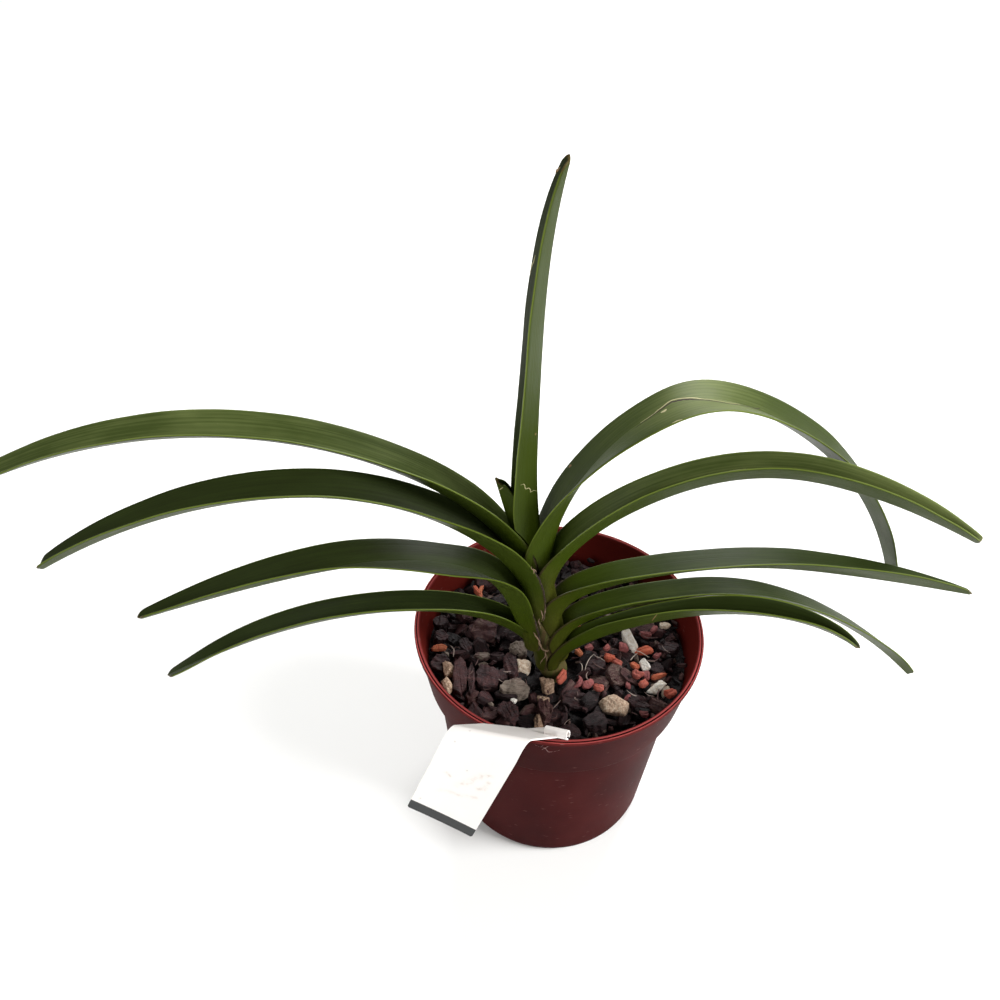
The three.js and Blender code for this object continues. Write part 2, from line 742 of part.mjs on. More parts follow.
function buildLabel(swell) {
  const rows = labelRows();
  const points = [];
  for (const layer of [-1, 1]) {
    for (const [along, left, right, askew] of rows) {
      for (let c = 0; c < labelColumns; c += 1) {
        const sideways = left - swell + (right - left + 2 * swell) * (c / (labelColumns - 1));
        const slid = along - askew * sideways * Math.tan(labelSkew * degree);
        const point = labelPoint(slid, sideways, layer * (labelThick / 2 + swell));
        points.push([point.x, point.y, point.z]);
      }
    }
  }
  return outwardBody(points, sheetTriangles(rows.length, labelColumns));
}

// A small lug on the sheet, curled back over itself just inside the rim.
function buildLabelCurl() {
  const points = [];
  for (const radius of [labelCurlRadius - labelThick, labelCurlRadius]) {
    for (let i = 0; i <= labelCurlSteps; i += 1) {
      const turn = (labelCurlFrom + (labelCurlSweep * i) / labelCurlSteps) * degree;
      for (const sideways of [labelCurlLeft, labelCurlRight]) {
        const along = labelCurlAlong + radius * Math.cos(turn);
        const lift = labelCurlRadius - labelThick / 2 + radius * Math.sin(turn);
        const point = labelPoint(along, sideways, lift);
        points.push([point.x, point.y, point.z]);
      }
    }
  }
  return outwardBody(points, sheetTriangles(labelCurlSteps + 1, 2));
}

// Assembly
const looks = {
  pot: { color: 0x6b3230, roughness: 0.5 },
  medium: { color: 0x3a2a2a, roughness: 0.95 },
  stem: { color: 0x6a5a3a, roughness: 0.8 },
  leaf: { color: 0x3a4a28, roughness: 0.45 },
  label: { color: 0xf4f2ee, roughness: 0.4 },
};

const part = new THREE.Group();

function addNode(name, solid, look) {
  const mesh = solid.getMesh();
  const geometry = new THREE.BufferGeometry();
  geometry.setAttribute('position', new THREE.Float32BufferAttribute(mesh.vertProperties, 3));
  geometry.setIndex(new THREE.Uint32BufferAttribute(mesh.triVerts, 1));
  geometry.computeVertexNormals();
  const node = new THREE.Mesh(geometry, new THREE.MeshStandardMaterial(looks[look]));
  node.name = name;
  part.add(node);
}

addNode('pot', buildPot(), 'pot');

// Lower leaves clasp the ones above, so each leaf gives way to every leaf listed before it.
const swollen = [];
for (const leaf of leafList) {
  let blade = buildLeaf(leaf, 0);
  for (const outer of swollen) {
    blade = blade.subtract(outer);
  }
  addNode(leaf.name, largestBody(blade), 'leaf');
  swollen.push(buildLeaf(leaf, gap));
}

let stem = buildStemCore();
for (const outer of swollen) {
  stem = stem.subtract(outer);
}
addNode('stem', largestBody(stem), 'stem');

let medium = buildMedium();
for (const outer of [...swollen, buildLabel(gap)]) {
  medium = medium.subtract(outer);
}
addNode('medium', largestBody(medium), 'medium');
addNode('label', buildLabel(0).add(buildLabelCurl()), 'label');

export default part;
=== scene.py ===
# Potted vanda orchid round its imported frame. Sizes are in millimetres until a mesh is made.
import math

import bmesh
import bpy
import numpy as np
from mathutils import Matrix, Vector, kdtree


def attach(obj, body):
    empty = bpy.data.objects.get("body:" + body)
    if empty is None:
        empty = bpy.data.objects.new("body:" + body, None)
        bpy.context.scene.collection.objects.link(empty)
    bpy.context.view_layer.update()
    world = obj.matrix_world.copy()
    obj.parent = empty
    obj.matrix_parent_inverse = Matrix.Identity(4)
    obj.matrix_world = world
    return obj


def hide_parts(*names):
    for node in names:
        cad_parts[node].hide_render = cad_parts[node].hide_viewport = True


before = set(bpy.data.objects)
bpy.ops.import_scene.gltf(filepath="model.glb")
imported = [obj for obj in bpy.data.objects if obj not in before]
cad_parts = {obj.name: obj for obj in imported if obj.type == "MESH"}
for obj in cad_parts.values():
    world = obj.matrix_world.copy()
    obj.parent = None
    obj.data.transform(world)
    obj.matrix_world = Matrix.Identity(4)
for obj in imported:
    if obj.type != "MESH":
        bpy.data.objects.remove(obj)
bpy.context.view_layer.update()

mm = 0.001
degree = math.pi / 180
scene = bpy.context.scene
scene.view_settings.view_transform = "Standard"
print("stage: frame loaded")


# sRGB hex to the linear colour that a shader socket takes
def colourOf(hexText):
    parts = [int(hexText[i:i + 2], 16) / 255 for i in (1, 3, 5)]
    return tuple(c / 12.92 if c <= 0.04045 else ((c + 0.055) / 1.055) ** 2.4 for c in parts) + (1.0,)


# sets a node's inputs to values, to sockets, or to the first output that another node has in use
def feed(tree, node, inputs):
    for name, value in inputs.items():
        if isinstance(value, bpy.types.Node):
            value = next(socket for socket in value.outputs if socket.enabled)
        if isinstance(value, bpy.types.NodeSocket):
            tree.links.new(value, node.inputs[name])
        else:
            node.inputs[name].default_value = value


# adds one node: what its inputs are fed, its ramp stops as (place, hex), and its settings by name
def addNode(tree, kind, inputs=None, stops=(), **settings):
    node = tree.nodes.new(kind)
    for name, value in settings.items():
        setattr(node, name, value)
    feed(tree, node, inputs or {})
    if stops:
        elements = node.color_ramp.elements
        while len(elements) < len(stops):
            elements.new(1.0)
        for element, (place, shade) in zip(elements, stops):
            element.position = place
            element.color = colourOf(shade)
    return node


def newMaterial(name, surface):
    material = bpy.data.materials.new(name)
    material.use_nodes = True
    tree = material.node_tree
    shader = tree.nodes["Principled BSDF"]
    feed(tree, shader, surface)
    return material, tree, shader


# inputs of a Mix node set to colours: the factor, the colour where it is 0 and the one where it is 1
mixFactor, mixFirst, mixSecond = 0, 6, 7


# quads of a rows by columns grid whose columns may wrap round
def gridFaces(rows, columns, wrap=False):
    r = np.arange(rows - 1)[:, None]
    c = np.arange(columns if wrap else columns - 1)[None, :]
    after = (c + 1) % columns
    quads = [r * columns + c, r * columns + after, (r + 1) * columns + after, (r + 1) * columns + c]
    return np.stack(np.broadcast_arrays(*quads), -1).reshape(-1, 4)


# six times the volume that faces enclose, negative where they look inwards
def facing(points, faces):
    total = 0.0
    for group in faces:
        first = points[group[:, 0]]
        for k in range(1, group.shape[1] - 1):
            total += np.einsum("ij,ij->", first, np.cross(points[group[:, k]], points[group[:, k + 1]]))
    return total


# an object with one mesh, from points in millimetres and arrays of faces that are turned to look outwards
def addObject(name, points, faces, attributes=None):
    if facing(points, faces) < 0:
        faces = [group[:, ::-1] for group in faces]
    corners = np.concatenate([group.ravel() for group in faces]).astype(np.int32)
    sizes = np.concatenate([np.full(len(group), group.shape[1]) for group in faces])
    starts = np.concatenate([[0], np.cumsum(sizes)[:-1]]).astype(np.int32)
    mesh = bpy.data.meshes.new(name)
    mesh.vertices.add(len(points))
    mesh.vertices.foreach_set("co", (points * mm).astype(np.float32).ravel())
    mesh.loops.add(len(corners))
    mesh.loops.foreach_set("vertex_index", corners)
    mesh.polygons.add(len(starts))
    mesh.polygons.foreach_set("loop_start", starts)
    mesh.update(calc_edges=True)
    for key, values in (attributes or {}).items():
        if np.ndim(values) == 2:
            layer = mesh.attributes.new(key, "FLOAT_VECTOR", "POINT")
            layer.data.foreach_set("vector", values.astype(np.float32).ravel())
        else:
            layer = mesh.attributes.new(key, "FLOAT", "POINT")
            layer.data.foreach_set("value", np.broadcast_to(values, len(points)).astype(np.float32))
    piece = bpy.data.objects.new(name, mesh)
    scene.collection.objects.link(piece)
    return piece


# gives a finished piece its material and smooth shading, puts it on the one body and hides the frame parts
# it replaces
def finishPiece(piece, material, replaced=(), sharpAngle=40):
    mesh = piece.data
    mesh.materials.clear()
    mesh.materials.append(material)
    mesh.shade_smooth()
    mesh.set_sharp_from_angle(angle=sharpAngle * degree)
    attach(piece, "root")
    if replaced:
        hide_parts(*replaced)


# joins point sets and their faces into one set
def fuse(parts):
    points, faces, offset = [], [], 0
    for pts, groups in parts:
        points.append(pts)
        faces += [group + offset for group in groups]
        offset += len(pts)
    return np.concatenate(points), faces


# an ellipse carried along a path: centre + cos t * halfWidth * side + sin t * halfThick * normal
def carried(path, side, normal, halfWidth, halfThick, loop=6):
    turn = (np.arange(loop) / loop * 2 * np.pi)[None, :, None]
    side, normal = (np.broadcast_to(way, path.shape)[:, None] for way in (side, normal))
    wide, thick = (np.broadcast_to(half, len(path))[:, None, None] for half in (halfWidth, halfThick))
    points = path[:, None] + np.cos(turn) * wide * side + np.sin(turn) * thick * normal
    ends = np.arange(loop)
    caps = np.stack([ends[::-1], ends + (len(path) - 1) * loop])
    return points.reshape(-1, 3), [gridFaces(len(path), loop, wrap=True), caps]


def unit(vectors):
    return vectors / np.linalg.norm(vectors, axis=-1, keepdims=True)


# smooth uneven lumps, about -1 to 1: the mean of sine waves in random directions
def lumps(points, wavelength, seed, count=7):
    chance = np.random.default_rng(seed)
    directions = unit(chance.normal(size=(count, 3)))
    waves = directions * 2 * np.pi / (wavelength * chance.uniform(0.6, 1.5, (count, 1)))
    return np.sin(points @ waves.T + chance.uniform(0, 6.28, count)).mean(-1) * 1.8


# cubic through values at rising stations that never overshoots them
def smoothThrough(stations, values, at):
    x = np.asarray(stations, float)
    y = np.asarray(values, float)
    step = np.diff(x)
    rate = np.diff(y) / step
    first, second = 2 * step[1:] + step[:-1], step[1:] + 2 * step[:-1]
    same = rate[:-1] * rate[1:] > 0
    safe = np.where(same[:, None], np.stack([rate[:-1], rate[1:]], -1), 1)
    inner = np.where(same, (first + second) / (first / safe[:, 0] + second / safe[:, 1]), 0)
    ends = []
    for near, far, a, b in ((step[0], step[1], rate[0], rate[1]), (step[-1], step[-2], rate[-1], rate[-2])):
        slope = ((2 * near + far) * a - near * b) / (near + far)
        if slope * a <= 0:
            slope = 0
        elif a * b <= 0 and abs(slope) > 3 * abs(a):
            slope = 3 * a
        ends.append(slope)
    slopes = np.concatenate([[ends[0]], inner, [ends[1]]])
    at = np.clip(at, x[0], x[-1])
    k = np.clip(np.searchsorted(x, at, side="left") - 1, 0, len(x) - 2)
    u = (at - x[k]) / step[k]
    return ((2 * u**3 - 3 * u**2 + 1) * y[k] + (u**3 - 2 * u**2 + u) * step[k] * slopes[k]
            + (3 * u**2 - 2 * u**3) * y[k + 1] + (u**3 - u**2) * step[k] * slopes[k + 1])


# a smooth path through given stops, as so many points
def pathThrough(stops, count):
    spots = np.array(stops, float)
    at = np.linspace(0, len(spots) - 1, count)
    return np.stack([smoothThrough(np.arange(len(spots)), spots[:, k], at) for k in range(3)], -1)


# a share of full size along a strip: least + (1 - least) sin t, slimmer towards both its ends
def slimming(count, least, margin=0.1):
    return least + (1 - least) * np.sin(np.linspace(margin, np.pi - margin, count))


# a bent strand through given stops, with a round section
def strand(stops, radius):
    path = pathThrough(stops, 6 * len(stops))
    way = unit(np.gradient(path, axis=0))
    side = unit(np.cross(way, [0.0, 0, 1.0]))
    slim = radius * slimming(len(path), 0.35, 0.15)
    return carried(path, side, np.cross(side, way), slim, slim)


# numbers of the vertices outside a closed mesh's largest connected body
def looseBits(mesh):
    edges = np.empty(len(mesh.edges) * 2, np.int32)
    mesh.edges.foreach_get("vertices", edges)
    edges = edges.reshape(-1, 2)
    label = np.arange(len(mesh.vertices))
    while True:
        low = np.minimum(label[edges[:, 0]], label[edges[:, 1]])
        fresh = label.copy()
        np.minimum.at(fresh, edges[:, 0], low)
        np.minimum.at(fresh, edges[:, 1], low)
        fresh = fresh[fresh]
        if np.array_equal(fresh, label):
            break
        label = fresh
    names, sizes = np.unique(label, return_counts=True)
    return np.flatnonzero(label != names[sizes.argmax()])


# Nursery pot: [radius, height, rounding] round the wall from the middle of the foot to the floor inside,
# with a fourth value where a highlight is painted on the rim's beads (1) or shade is painted in its groove
# (-1)
potShape = {
    "sides": 192,
    "drainCount": 8, "drainRadius": 4.5, "drainRing": 33,
    "corners": [
        (0, 0, 0), (20, 0.6, 0.4), (21.5, 0.6, 0.4), (22.5, 0, 0.3), (44.9, 0, 1.2), (47.9, 1.4, 1.4),
        (48.9, 4.4, 1.6), (56, 84.6, 1.2), (58.6, 85.0, 0.8), (59.9, 86.2, 0.7), (63.8, 110.6, 0.8, 0),
        (64.9, 111.6, 0.4, 0), (65, 113.2, 0.5, 0.2), (64.5, 113.8, 0.35, 1), (63.9, 113.3, 0.3, -1),
        (63.5, 114, 0.35, 0.85), (62.7, 113.9, 0.4, 0.3), (62.3, 112.4, 0.8, 0),
        (58.4, 86.9, 0.9), (54.5, 86.4, 1.0), (47.4, 4.4, 1.6),
        (44.9, 2, 1.2), (0, 2, 0),
    ],
    "shade": "#3a0f0f", "shadeWorn": "#431514", "shadeDeep": "#2e0a0b", "scuff": "#8a6562",
    # a lighter red is painted on the inside for the light that falls into the pot, a highlight on the rim's
    # beads and shade in its groove
    "inner": "#571a15", "rimHighlight": "#92403e", "grooveShade": "#1e0606", "innerFrom": 16,
    "drillDepth": (-3.0, 6.0), "drillSides": 32,
    # scratches on the front of the collar, as [x, height], between these two corners
    "scratchRadius": 0.17, "collar": (9, 10),
    "scratches": [[(-11.7, 109.5), (-9.3, 108.5), (-7.7, 108.1), (-5.9, 105), (-1.7, 107.4)],
                  [(-8.2, 111.4), (-8.6, 110), (-9.3, 108.5)],
                  [(-6.2, 110.3), (-7.7, 108.1), (-8.8, 106.2)]],
}


# profile whose corners are eased: a curve from r short of the corner to r past it, as far as a side allows
def roundedProfile(corners, count=5, most=0.48):
    spots = np.array([corner[:2] for corner in corners], float)
    u = np.linspace(0, 1, count)[:, None]
    rows = [spots[:1]]
    for k in range(1, len(spots) - 1):
        ease = corners[k][2]
        before, after = spots[k - 1] - spots[k], spots[k + 1] - spots[k]
        start = spots[k] + unit(before) * min(ease, np.linalg.norm(before) * most)
        end = spots[k] + unit(after) * min(ease, np.linalg.norm(after) * most)
        rows.append((1 - u)**2 * start + 2 * u * (1 - u) * spots[k] + u**2 * end)
    rows.append(spots[-1:])
    return np.concatenate(rows)


# body of revolution: (r cos t, r sin t, z) for a profile that starts and ends on the axis
def turned(profile, sides):
    turn = np.arange(sides) / sides * 2 * np.pi
    ring = profile[1:-1]
    points = np.stack([ring[:, :1] * np.cos(turn), ring[:, :1] * np.sin(turn),
                       np.repeat(ring[:, 1:], sides, axis=1)], -1).reshape(-1, 3)
    poles = np.array([[0, 0, profile[0, 1]], [0, 0, profile[-1, 1]]])
    here, after = np.arange(sides), (np.arange(sides) + 1) % sides
    low, high = len(points), len(points) + 1
    last = (len(ring) - 1) * sides
    fans = [np.stack([np.full(sides, low), after, here], -1),
            np.stack([np.full(sides, high), last + here, last + after], -1)]
    return np.concatenate([points, poles]), [gridFaces(len(ring), sides, wrap=True)] + fans


# what is left of a body when each cutter is taken out of it, with its attributes carried over
def cutAway(piece, cutters, keys=()):
    old = piece.data
    marker = old.attributes.new("kept", "FLOAT", "POINT")
    marker.data.foreach_set("value", np.ones(len(old.vertices), np.float32))
    for cutter in cutters:
        modifier = piece.modifiers.new("clear", "BOOLEAN")
        modifier.operation = "DIFFERENCE"
        modifier.solver = "MANIFOLD"
        modifier.object = cutter
    graph = bpy.context.evaluated_depsgraph_get()
    shape = bpy.data.meshes.new_from_object(piece.evaluated_get(graph), preserve_all_data_layers=True,
                                            depsgraph=graph)
    piece.modifiers.clear()
    kept = np.empty(len(shape.vertices), np.float32)
    shape.attributes["kept"].data.foreach_get("value", kept)
    # corners that the cut made take the values of the nearest old ones
    lost = np.flatnonzero(kept < 0.999)
    tree = kdtree.KDTree(len(old.vertices))
    for index, vertex in enumerate(old.vertices):
        tree.insert(vertex.co, index)
    tree.balance()
    nearest = np.array([tree.find(shape.vertices[i].co)[1] for i in lost], int)
    for key in keys:
        source = np.empty(len(old.vertices), np.float32)
        values = np.empty(len(shape.vertices), np.float32)
        old.attributes[key].data.foreach_get("value", source)
        shape.attributes[key].data.foreach_get("value", values)
        if len(lost):
            values[lost] = source[nearest]
        shape.attributes[key].data.foreach_set("value", values)
    shape.attributes.remove(shape.attributes["kept"])
    work = bmesh.new()
    work.from_mesh(shape)
    work.verts.ensure_lookup_table()
    bmesh.ops.delete(work, geom=[work.verts[i] for i in looseBits(shape)], context="VERTS")
    work.to_mesh(shape)
    work.free()
    piece.data = shape
    bpy.data.meshes.remove(old)
    shape.name = piece.name


# Injection-moulded polypropylene: even red-brown, satin, faintly streaked and scuffed where it is handled,
# with a highlight painted on the rim's two beads, shade painted in the groove between them, and a lighter
# red painted inside for the light that falls there. A film of dust dulls its gloss
def pottedPlastic():
    shape = potShape
    material, tree, shader = newMaterial("mouldedPolypropylene", {"Roughness": 0.5, "IOR": 1.49,
                                                                  "Specular IOR Level": 0.015})
    rimLightAndShade, inside = (addNode(tree, "ShaderNodeAttribute", attribute_name=key).outputs["Fac"]
                    for key in ("rimLightAndShade", "inside"))
    place = addNode(tree, "ShaderNodeTexCoord").outputs["Object"]
    cloudy = addNode(tree, "ShaderNodeTexNoise", {"Vector": place, "Scale": 28.0, "Detail": 5.0})
    colour = addNode(tree, "ShaderNodeValToRGB", {"Fac": cloudy},
                     stops=[(0.3, shape["shadeDeep"]), (0.52, shape["shade"]), (0.75, shape["shadeWorn"])])
    # painted shade where the rim's groove lies
    groove = addNode(tree, "ShaderNodeMath", {0: rimLightAndShade, 1: -1.0}, operation="MULTIPLY")
    # scuffs run round the wall: thin pale dashes up to about 2.5 mm long, in patches 6 mm wide
    stretched = addNode(tree, "ShaderNodeMapping", {"Vector": place, "Scale": (1.0, 1.0, 7.0)})
    marks = addNode(tree, "ShaderNodeTexVoronoi", {"Vector": stretched, "Scale": 130.0})
    patches = addNode(tree, "ShaderNodeTexNoise", {"Vector": place, "Scale": 160.0, "Detail": 3.0})
    dashes = addNode(tree, "ShaderNodeMapRange", {"Value": marks, "From Min": 0.08, "From Max": 0.17,
                                                  "To Min": 1.0, "To Max": 0.0})
    kept = addNode(tree, "ShaderNodeMapRange", {"Value": patches, "From Min": 0.5, "From Max": 0.62,
                                                "To Min": 0.0, "To Max": 0.6})
    scuffs = addNode(tree, "ShaderNodeMath", {0: dashes, 1: kept}, operation="MULTIPLY")
    # the inside is painted lighter for its light, the beads get a painted highlight, the groove painted
    # shade, and then come the real scuffs
    for mask, key in ((inside, "inner"), (rimLightAndShade, "rimHighlight"), (groove, "grooveShade"), (scuffs, "scuff")):
        colour = addNode(tree, "ShaderNodeMix", {mixFactor: mask, mixFirst: colour,
                                                 mixSecond: colourOf(shape[key])}, data_type="RGBA")
    grain = addNode(tree, "ShaderNodeTexNoise", {"Vector": place, "Scale": 900.0, "Detail": 2.0})
    bump = addNode(tree, "ShaderNodeBump", {"Height": grain, "Strength": 0.12, "Distance": 0.0002})
    feed(tree, shader, {"Base Color": colour, "Normal": bump})
    return material


# The same polypropylene, scratched pale and dull in broken lines
def scratchedPlastic():
    material, tree, shader = newMaterial("scratchedPolypropylene", {"Roughness": 0.7, "IOR": 1.49})
    place = addNode(tree, "ShaderNodeTexCoord").outputs["Object"]
    broken = addNode(tree, "ShaderNodeTexNoise", {"Vector": place, "Scale": 900.0, "Detail": 2.0})
    ramp = addNode(tree, "ShaderNodeValToRGB", {"Fac": broken},
                   stops=[(0.4, potShape["shadeWorn"]), (0.6, potShape["scuff"])])
    feed(tree, shader, {"Base Color": ramp})
    return material


def buildPot():
    shape = potShape
    profile = roundedProfile(shape["corners"])
    points, faces = turned(profile, shape["sides"])
    # for each profile corner: a highlight painted on the rim's beads, shade painted in its groove
    rimLightAndShade = np.array([corner[3] if len(corner) > 3 else 0 for corner in shape["corners"][1:-1]], float)
    inside = (np.arange(len(rimLightAndShade)) >= shape["innerFrom"]).astype(float)
    rowsEach = (len(profile) - 2) // len(rimLightAndShade)
    attributes = {key: np.concatenate([np.repeat(values, rowsEach * shape["sides"]), [0, 1]])
                  for key, values in (("rimLightAndShade", rimLightAndShade), ("inside", inside))}
    pot = addObject("pot_shell", points, faces, attributes)
    drills = []
    for i in range(shape["drainCount"]):
        turn = (i + 0.5) / shape["drainCount"] * 2 * math.pi
        spot = np.array([math.cos(turn), math.sin(turn), 0]) * shape["drainRing"]
        path = spot + np.array([[0, 0, depth] for depth in shape["drillDepth"]])
        drill = carried(path, [1.0, 0, 0], [0, 1.0, 0], shape["drainRadius"], shape["drainRadius"],
                        loop=shape["drillSides"])
        drills.append(addObject(f"drill{i}", *drill))
    cutAway(pot, drills, list(attributes))
    for drill in drills:
        bpy.data.objects.remove(drill)
    finishPiece(pot, pottedPlastic(), ["pot"], sharpAngle=50)
    # pale scratches stand a hair proud of the collar
    wall = np.array([shape["corners"][k][:2] for k in shape["collar"]])
    lines = []
    for stops in shape["scratches"]:
        x, z = np.array(stops, float).T
        radius = np.interp(z, wall[:, 1], wall[:, 0])
        lines.append(strand(np.column_stack([x, -np.sqrt(radius**2 - x**2), z]), shape["scratchRadius"]))
    finishPiece(addObject("pot_scratches", *fuse(lines)), scratchedPlastic())


buildPot()
print("stage: pot")

# Leaves: the same rows as the solids. Angles are in degrees, lengths in millimetres
stemFoot = np.array([-2.3, -15.8, 100.0])
stemLean = np.array([-0.19, 0.02, 1.0])
leafShape = {
    "gap": 0.3, "keelThick": 1.5, "marginThick": 0.9, "bladeThick": 1.15, "edgeThick": 0.8,
    "openKeelRadius": 1.2, "keelOpensOver": 0.2, "footShareLength": 0.18, "footRise": 0.8,
    "taperStart": 0.55, "biteStart": 0.88, "notch": 0.8, "notchHalf": 0.16, "shortLobe": 1.6,
    "lobeOver": 0.3, "rounding": 3.6, "roundingShare": 0.98,
    "sheathNarrowing": 0.35, "sheathNarrowsOver": 10,
    "edgeShare": 0.1, "endShare": 0.01, "endLeast": 0.03,  # where the two faces close in a round edge
    "keelSteps": 240, "rows": 150, "shortLeaf": 60, "shortRows": 60, "sheathRows": 5,
    "stations": (0, 0.12, 0.35, 0.65, 1), "kinkedStations": (0, 0.14, 0.36, 0.46, 0.7, 1),
    "waveHeight": 0.1, "waveLength": 47.0, "rippleShare": 0.5, "rippleLength": 4.1, "wavesFullFrom": 0.25,
    "roomReach": 80, "roomRows": 60,  # the body that keeps later pieces off a leaf's foot
}
# places across from the fold (0) to the margin (1)
leafHalf = [0, .02, .05, .09, .14, .2, .28, .37, .47, .57, .67, .77, .86, .92, .955, .982, 1.0]
# the last values of each leaf: its lightness, mostly painted light and shade and in part its own tone of
# age, and for two leaves a painted sheen as (middle share, spread, strength)
leaves = {
    "leaf_right_5": dict(
        side=1, node=105.3, offset=4.3, sheath=2, length=141.2, half=8.5, foot=0.94, tip=0.27,
        heading=(-8.7, -4.4, 2.6), climb=(73.3, 41.9, 25, -2.1, -40.5), fold=(14, 13, 16, 27, 12),
        roll=(14.7, -25.7), hug=4.8, tint=0.3),
    "leaf_left_4": dict(
        side=-1, node=107.7, offset=7.3, sheath=5, length=183.2, half=8.7, foot=0.85, tip=0.35,
        heading=(-5.3, -7, 4), climb=(86, 41, 1.6, -19.6, -30.5), fold=(25, 25, 45, 45, 77),
        roll=(3, 6), hug=4.8, tint=0.28),
    "leaf_right_4": dict(
        side=1, node=117.4, offset=8, sheath=9, length=185.7, half=9.8, foot=0.99, tip=0.48,
        heading=(1.7, -2.1, 2.8), climb=(84.2, 25.2, 4.8, -28, -46.1), fold=(19, 45, 58, 75, 56),
        roll=(14.8, 27), hug=4.6, tint=0.4),
    "leaf_left_3": dict(
        side=-1, node=120.8, offset=10.3, sheath=4, length=183.9, half=10.8, foot=0.8, tip=0.33,
        heading=(-14.3, -6.4, -0.3), climb=(74.4, 72, 20.1, -9.3, -17.3), fold=(24, 27, 75, 48, 56),
        roll=(2.1, 10.6), hug=4.6, tint=0.1),
    "leaf_right_3": dict(
        side=1, node=132.8, offset=8, sheath=10, length=188, half=11.1, foot=0.97, tip=0.25,
        heading=(-2.2, 4.7, 1.7), climb=(84.1, 28.2, 7.4, -11.6, -15.5), fold=(12, 50, 64, 56, 38),
        roll=(18.1, 27.3), hug=4.5, tint=0.36),
    "leaf_left_2": dict(
        side=-1, node=138, offset=5.9, sheath=4, length=219, half=11.6, foot=0.78, tip=0.47,
        heading=(-11, -6, -1.4), climb=(87.6, 59.6, 29.7, -5.3, -31), fold=(14, 29, 57, 57, 56),
        roll=(2.4, 11.9), hug=4.4, tint=0.14),
    "leaf_right_2": dict(
        side=1, node=151.4, offset=7.7, sheath=10, length=203, half=10.9, foot=1, tip=0.38,
        heading=(3.2, 3.9, -1.4), climb=(83.9, 51.4, 22.6, -17.7, -29.6), fold=(13, 39, 26, 20, 13),
        roll=(11.6, -29.3), hug=4.4, tint=0.78, pale=(0.97, 0.2, 0.6)),
    "leaf_left_1": dict(
        side=-1, node=156.7, offset=6, sheath=4, length=236.8, half=11.6, foot=0.8, tip=0.63,
        heading=(-3.7, 1.2, 5.9), climb=(81, 51.9, 19.4, -7.3, -24), fold=(14, 44, 58, 56, 61),
        roll=(19, -4.9), hug=4.3, tint=0.74),
    "leaf_right_1": dict(
        side=1, node=154.5, offset=6, sheath=5, length=252, half=12.7, foot=1, tip=0.66,
        heading=(2.8, 7.1, 5.3), climb=(92.2, 73.2, 29.2, -17.4, -44.5, -66.5),
        fold=(13, 54, 85, 77, 65, 64), roll=(20.5, -13), hug=4.2, kinked=True, tint=0.54,
        pale=(0.44, 0.12, 0.35)),
    "leaf_centre": dict(
        side=1, node=163.5, offset=4.9, sheath=5, length=160.8, half=11.6, foot=0.95, tip=0.26,
        heading=(1.2, -0.8, -1), climb=(95.2, 96.4, 90.9, 89, 77.6), fold=(14, 19, 45, 60, 50),
        roll=(-4.7, -2.4), hug=4, tint=0.12),
    "leaf_new": dict(
        side=-1, node=169, offset=6, sheath=2, length=39, half=7.1, foot=0.95, tip=0.3,
        heading=(-1, -1, -1), climb=(84, 83, 78, 76, 76), fold=(13, 14, 18, 20, 26),
        roll=(3, 9), hug=2.4, tint=0.3),
}


# the stem's middle: it leans above its foot and stands straight under it
def stemPoint(height):
    above = height - stemFoot[2]
    return stemFoot + stemLean * max(0, above) + np.array([0, 0, min(0, above)])


def headingOf(leaf, share):
    first, last, bow = leaf["heading"]
    return (first + (last - first) * share + bow * 4 * share * (1 - share)) * degree


def stationsOf(leaf):
    return leafShape["kinkedStations" if leaf.get("kinked") else "stations"]


# the keel's direction: (side cos h cos c, sin h cos c, sin c) for heading h and climb c
def directionOf(leaf, share):
    h = headingOf(leaf, share)
    c = smoothThrough(stationsOf(leaf), leaf["climb"], share) * degree
    return np.stack([leaf["side"] * np.cos(h) * np.cos(c), np.sin(h) * np.cos(c), np.sin(c)], -1)


# keel point, near-side and upward directions and fold angle at distances along a leaf
def keelFrame(leaf, along):
    steps, side, length = leafShape["keelSteps"], leaf["side"], leaf["length"]
    share = np.clip(along / length, 0, 1)
    moves = directionOf(leaf, (np.arange(steps) + 0.5) / steps) * length / steps
    track = np.vstack([np.zeros(3), np.cumsum(moves, axis=0)])
    h0 = headingOf(leaf, 0.0)
    start = stemPoint(leaf["node"]) + leaf["offset"] * np.array([side * math.cos(h0), math.sin(h0), 0])
    at = share * steps
    keel = start + np.stack([np.interp(at, np.arange(steps + 1), track[:, k]) for k in range(3)], -1)
    lean = unit(stemLean)
    under = (along < 0)[..., None]
    direction = np.where(under, lean, directionOf(leaf, share))
    keel = keel + np.where(under, along[..., None] * lean, 0)
    h = headingOf(leaf, share)
    level = np.stack([side * np.sin(h), -np.cos(h), 0 * h], -1)
    inward = unit(side * np.cross(level, direction))
    across = unit(side * np.cross(direction, inward))
    roll = ((leaf["roll"][0] + (leaf["roll"][1] - leaf["roll"][0]) * share) * degree)[..., None]
    near = across * np.cos(roll) + inward * np.sin(roll)
    up = inward * np.cos(roll) - across * np.sin(roll)
    return keel, near, up, smoothThrough(stationsOf(leaf), leaf["fold"], share) * degree


# half width as a share: rises from the foot, full by a fifth of the length, then tapers as 1 - k t^2
def widthShare(leaf, share):
    shape = leafShape
    risen = np.clip(share / shape["footShareLength"], 0, 1) ** shape["footRise"]
    rising = leaf["foot"] + (1 - leaf["foot"]) * risen
    taper = np.clip((share - shape["taperStart"]) / (1 - shape["taperStart"]), 0, 1)
    return rising * (1 - (1 - leaf["tip"]) * taper * taper)


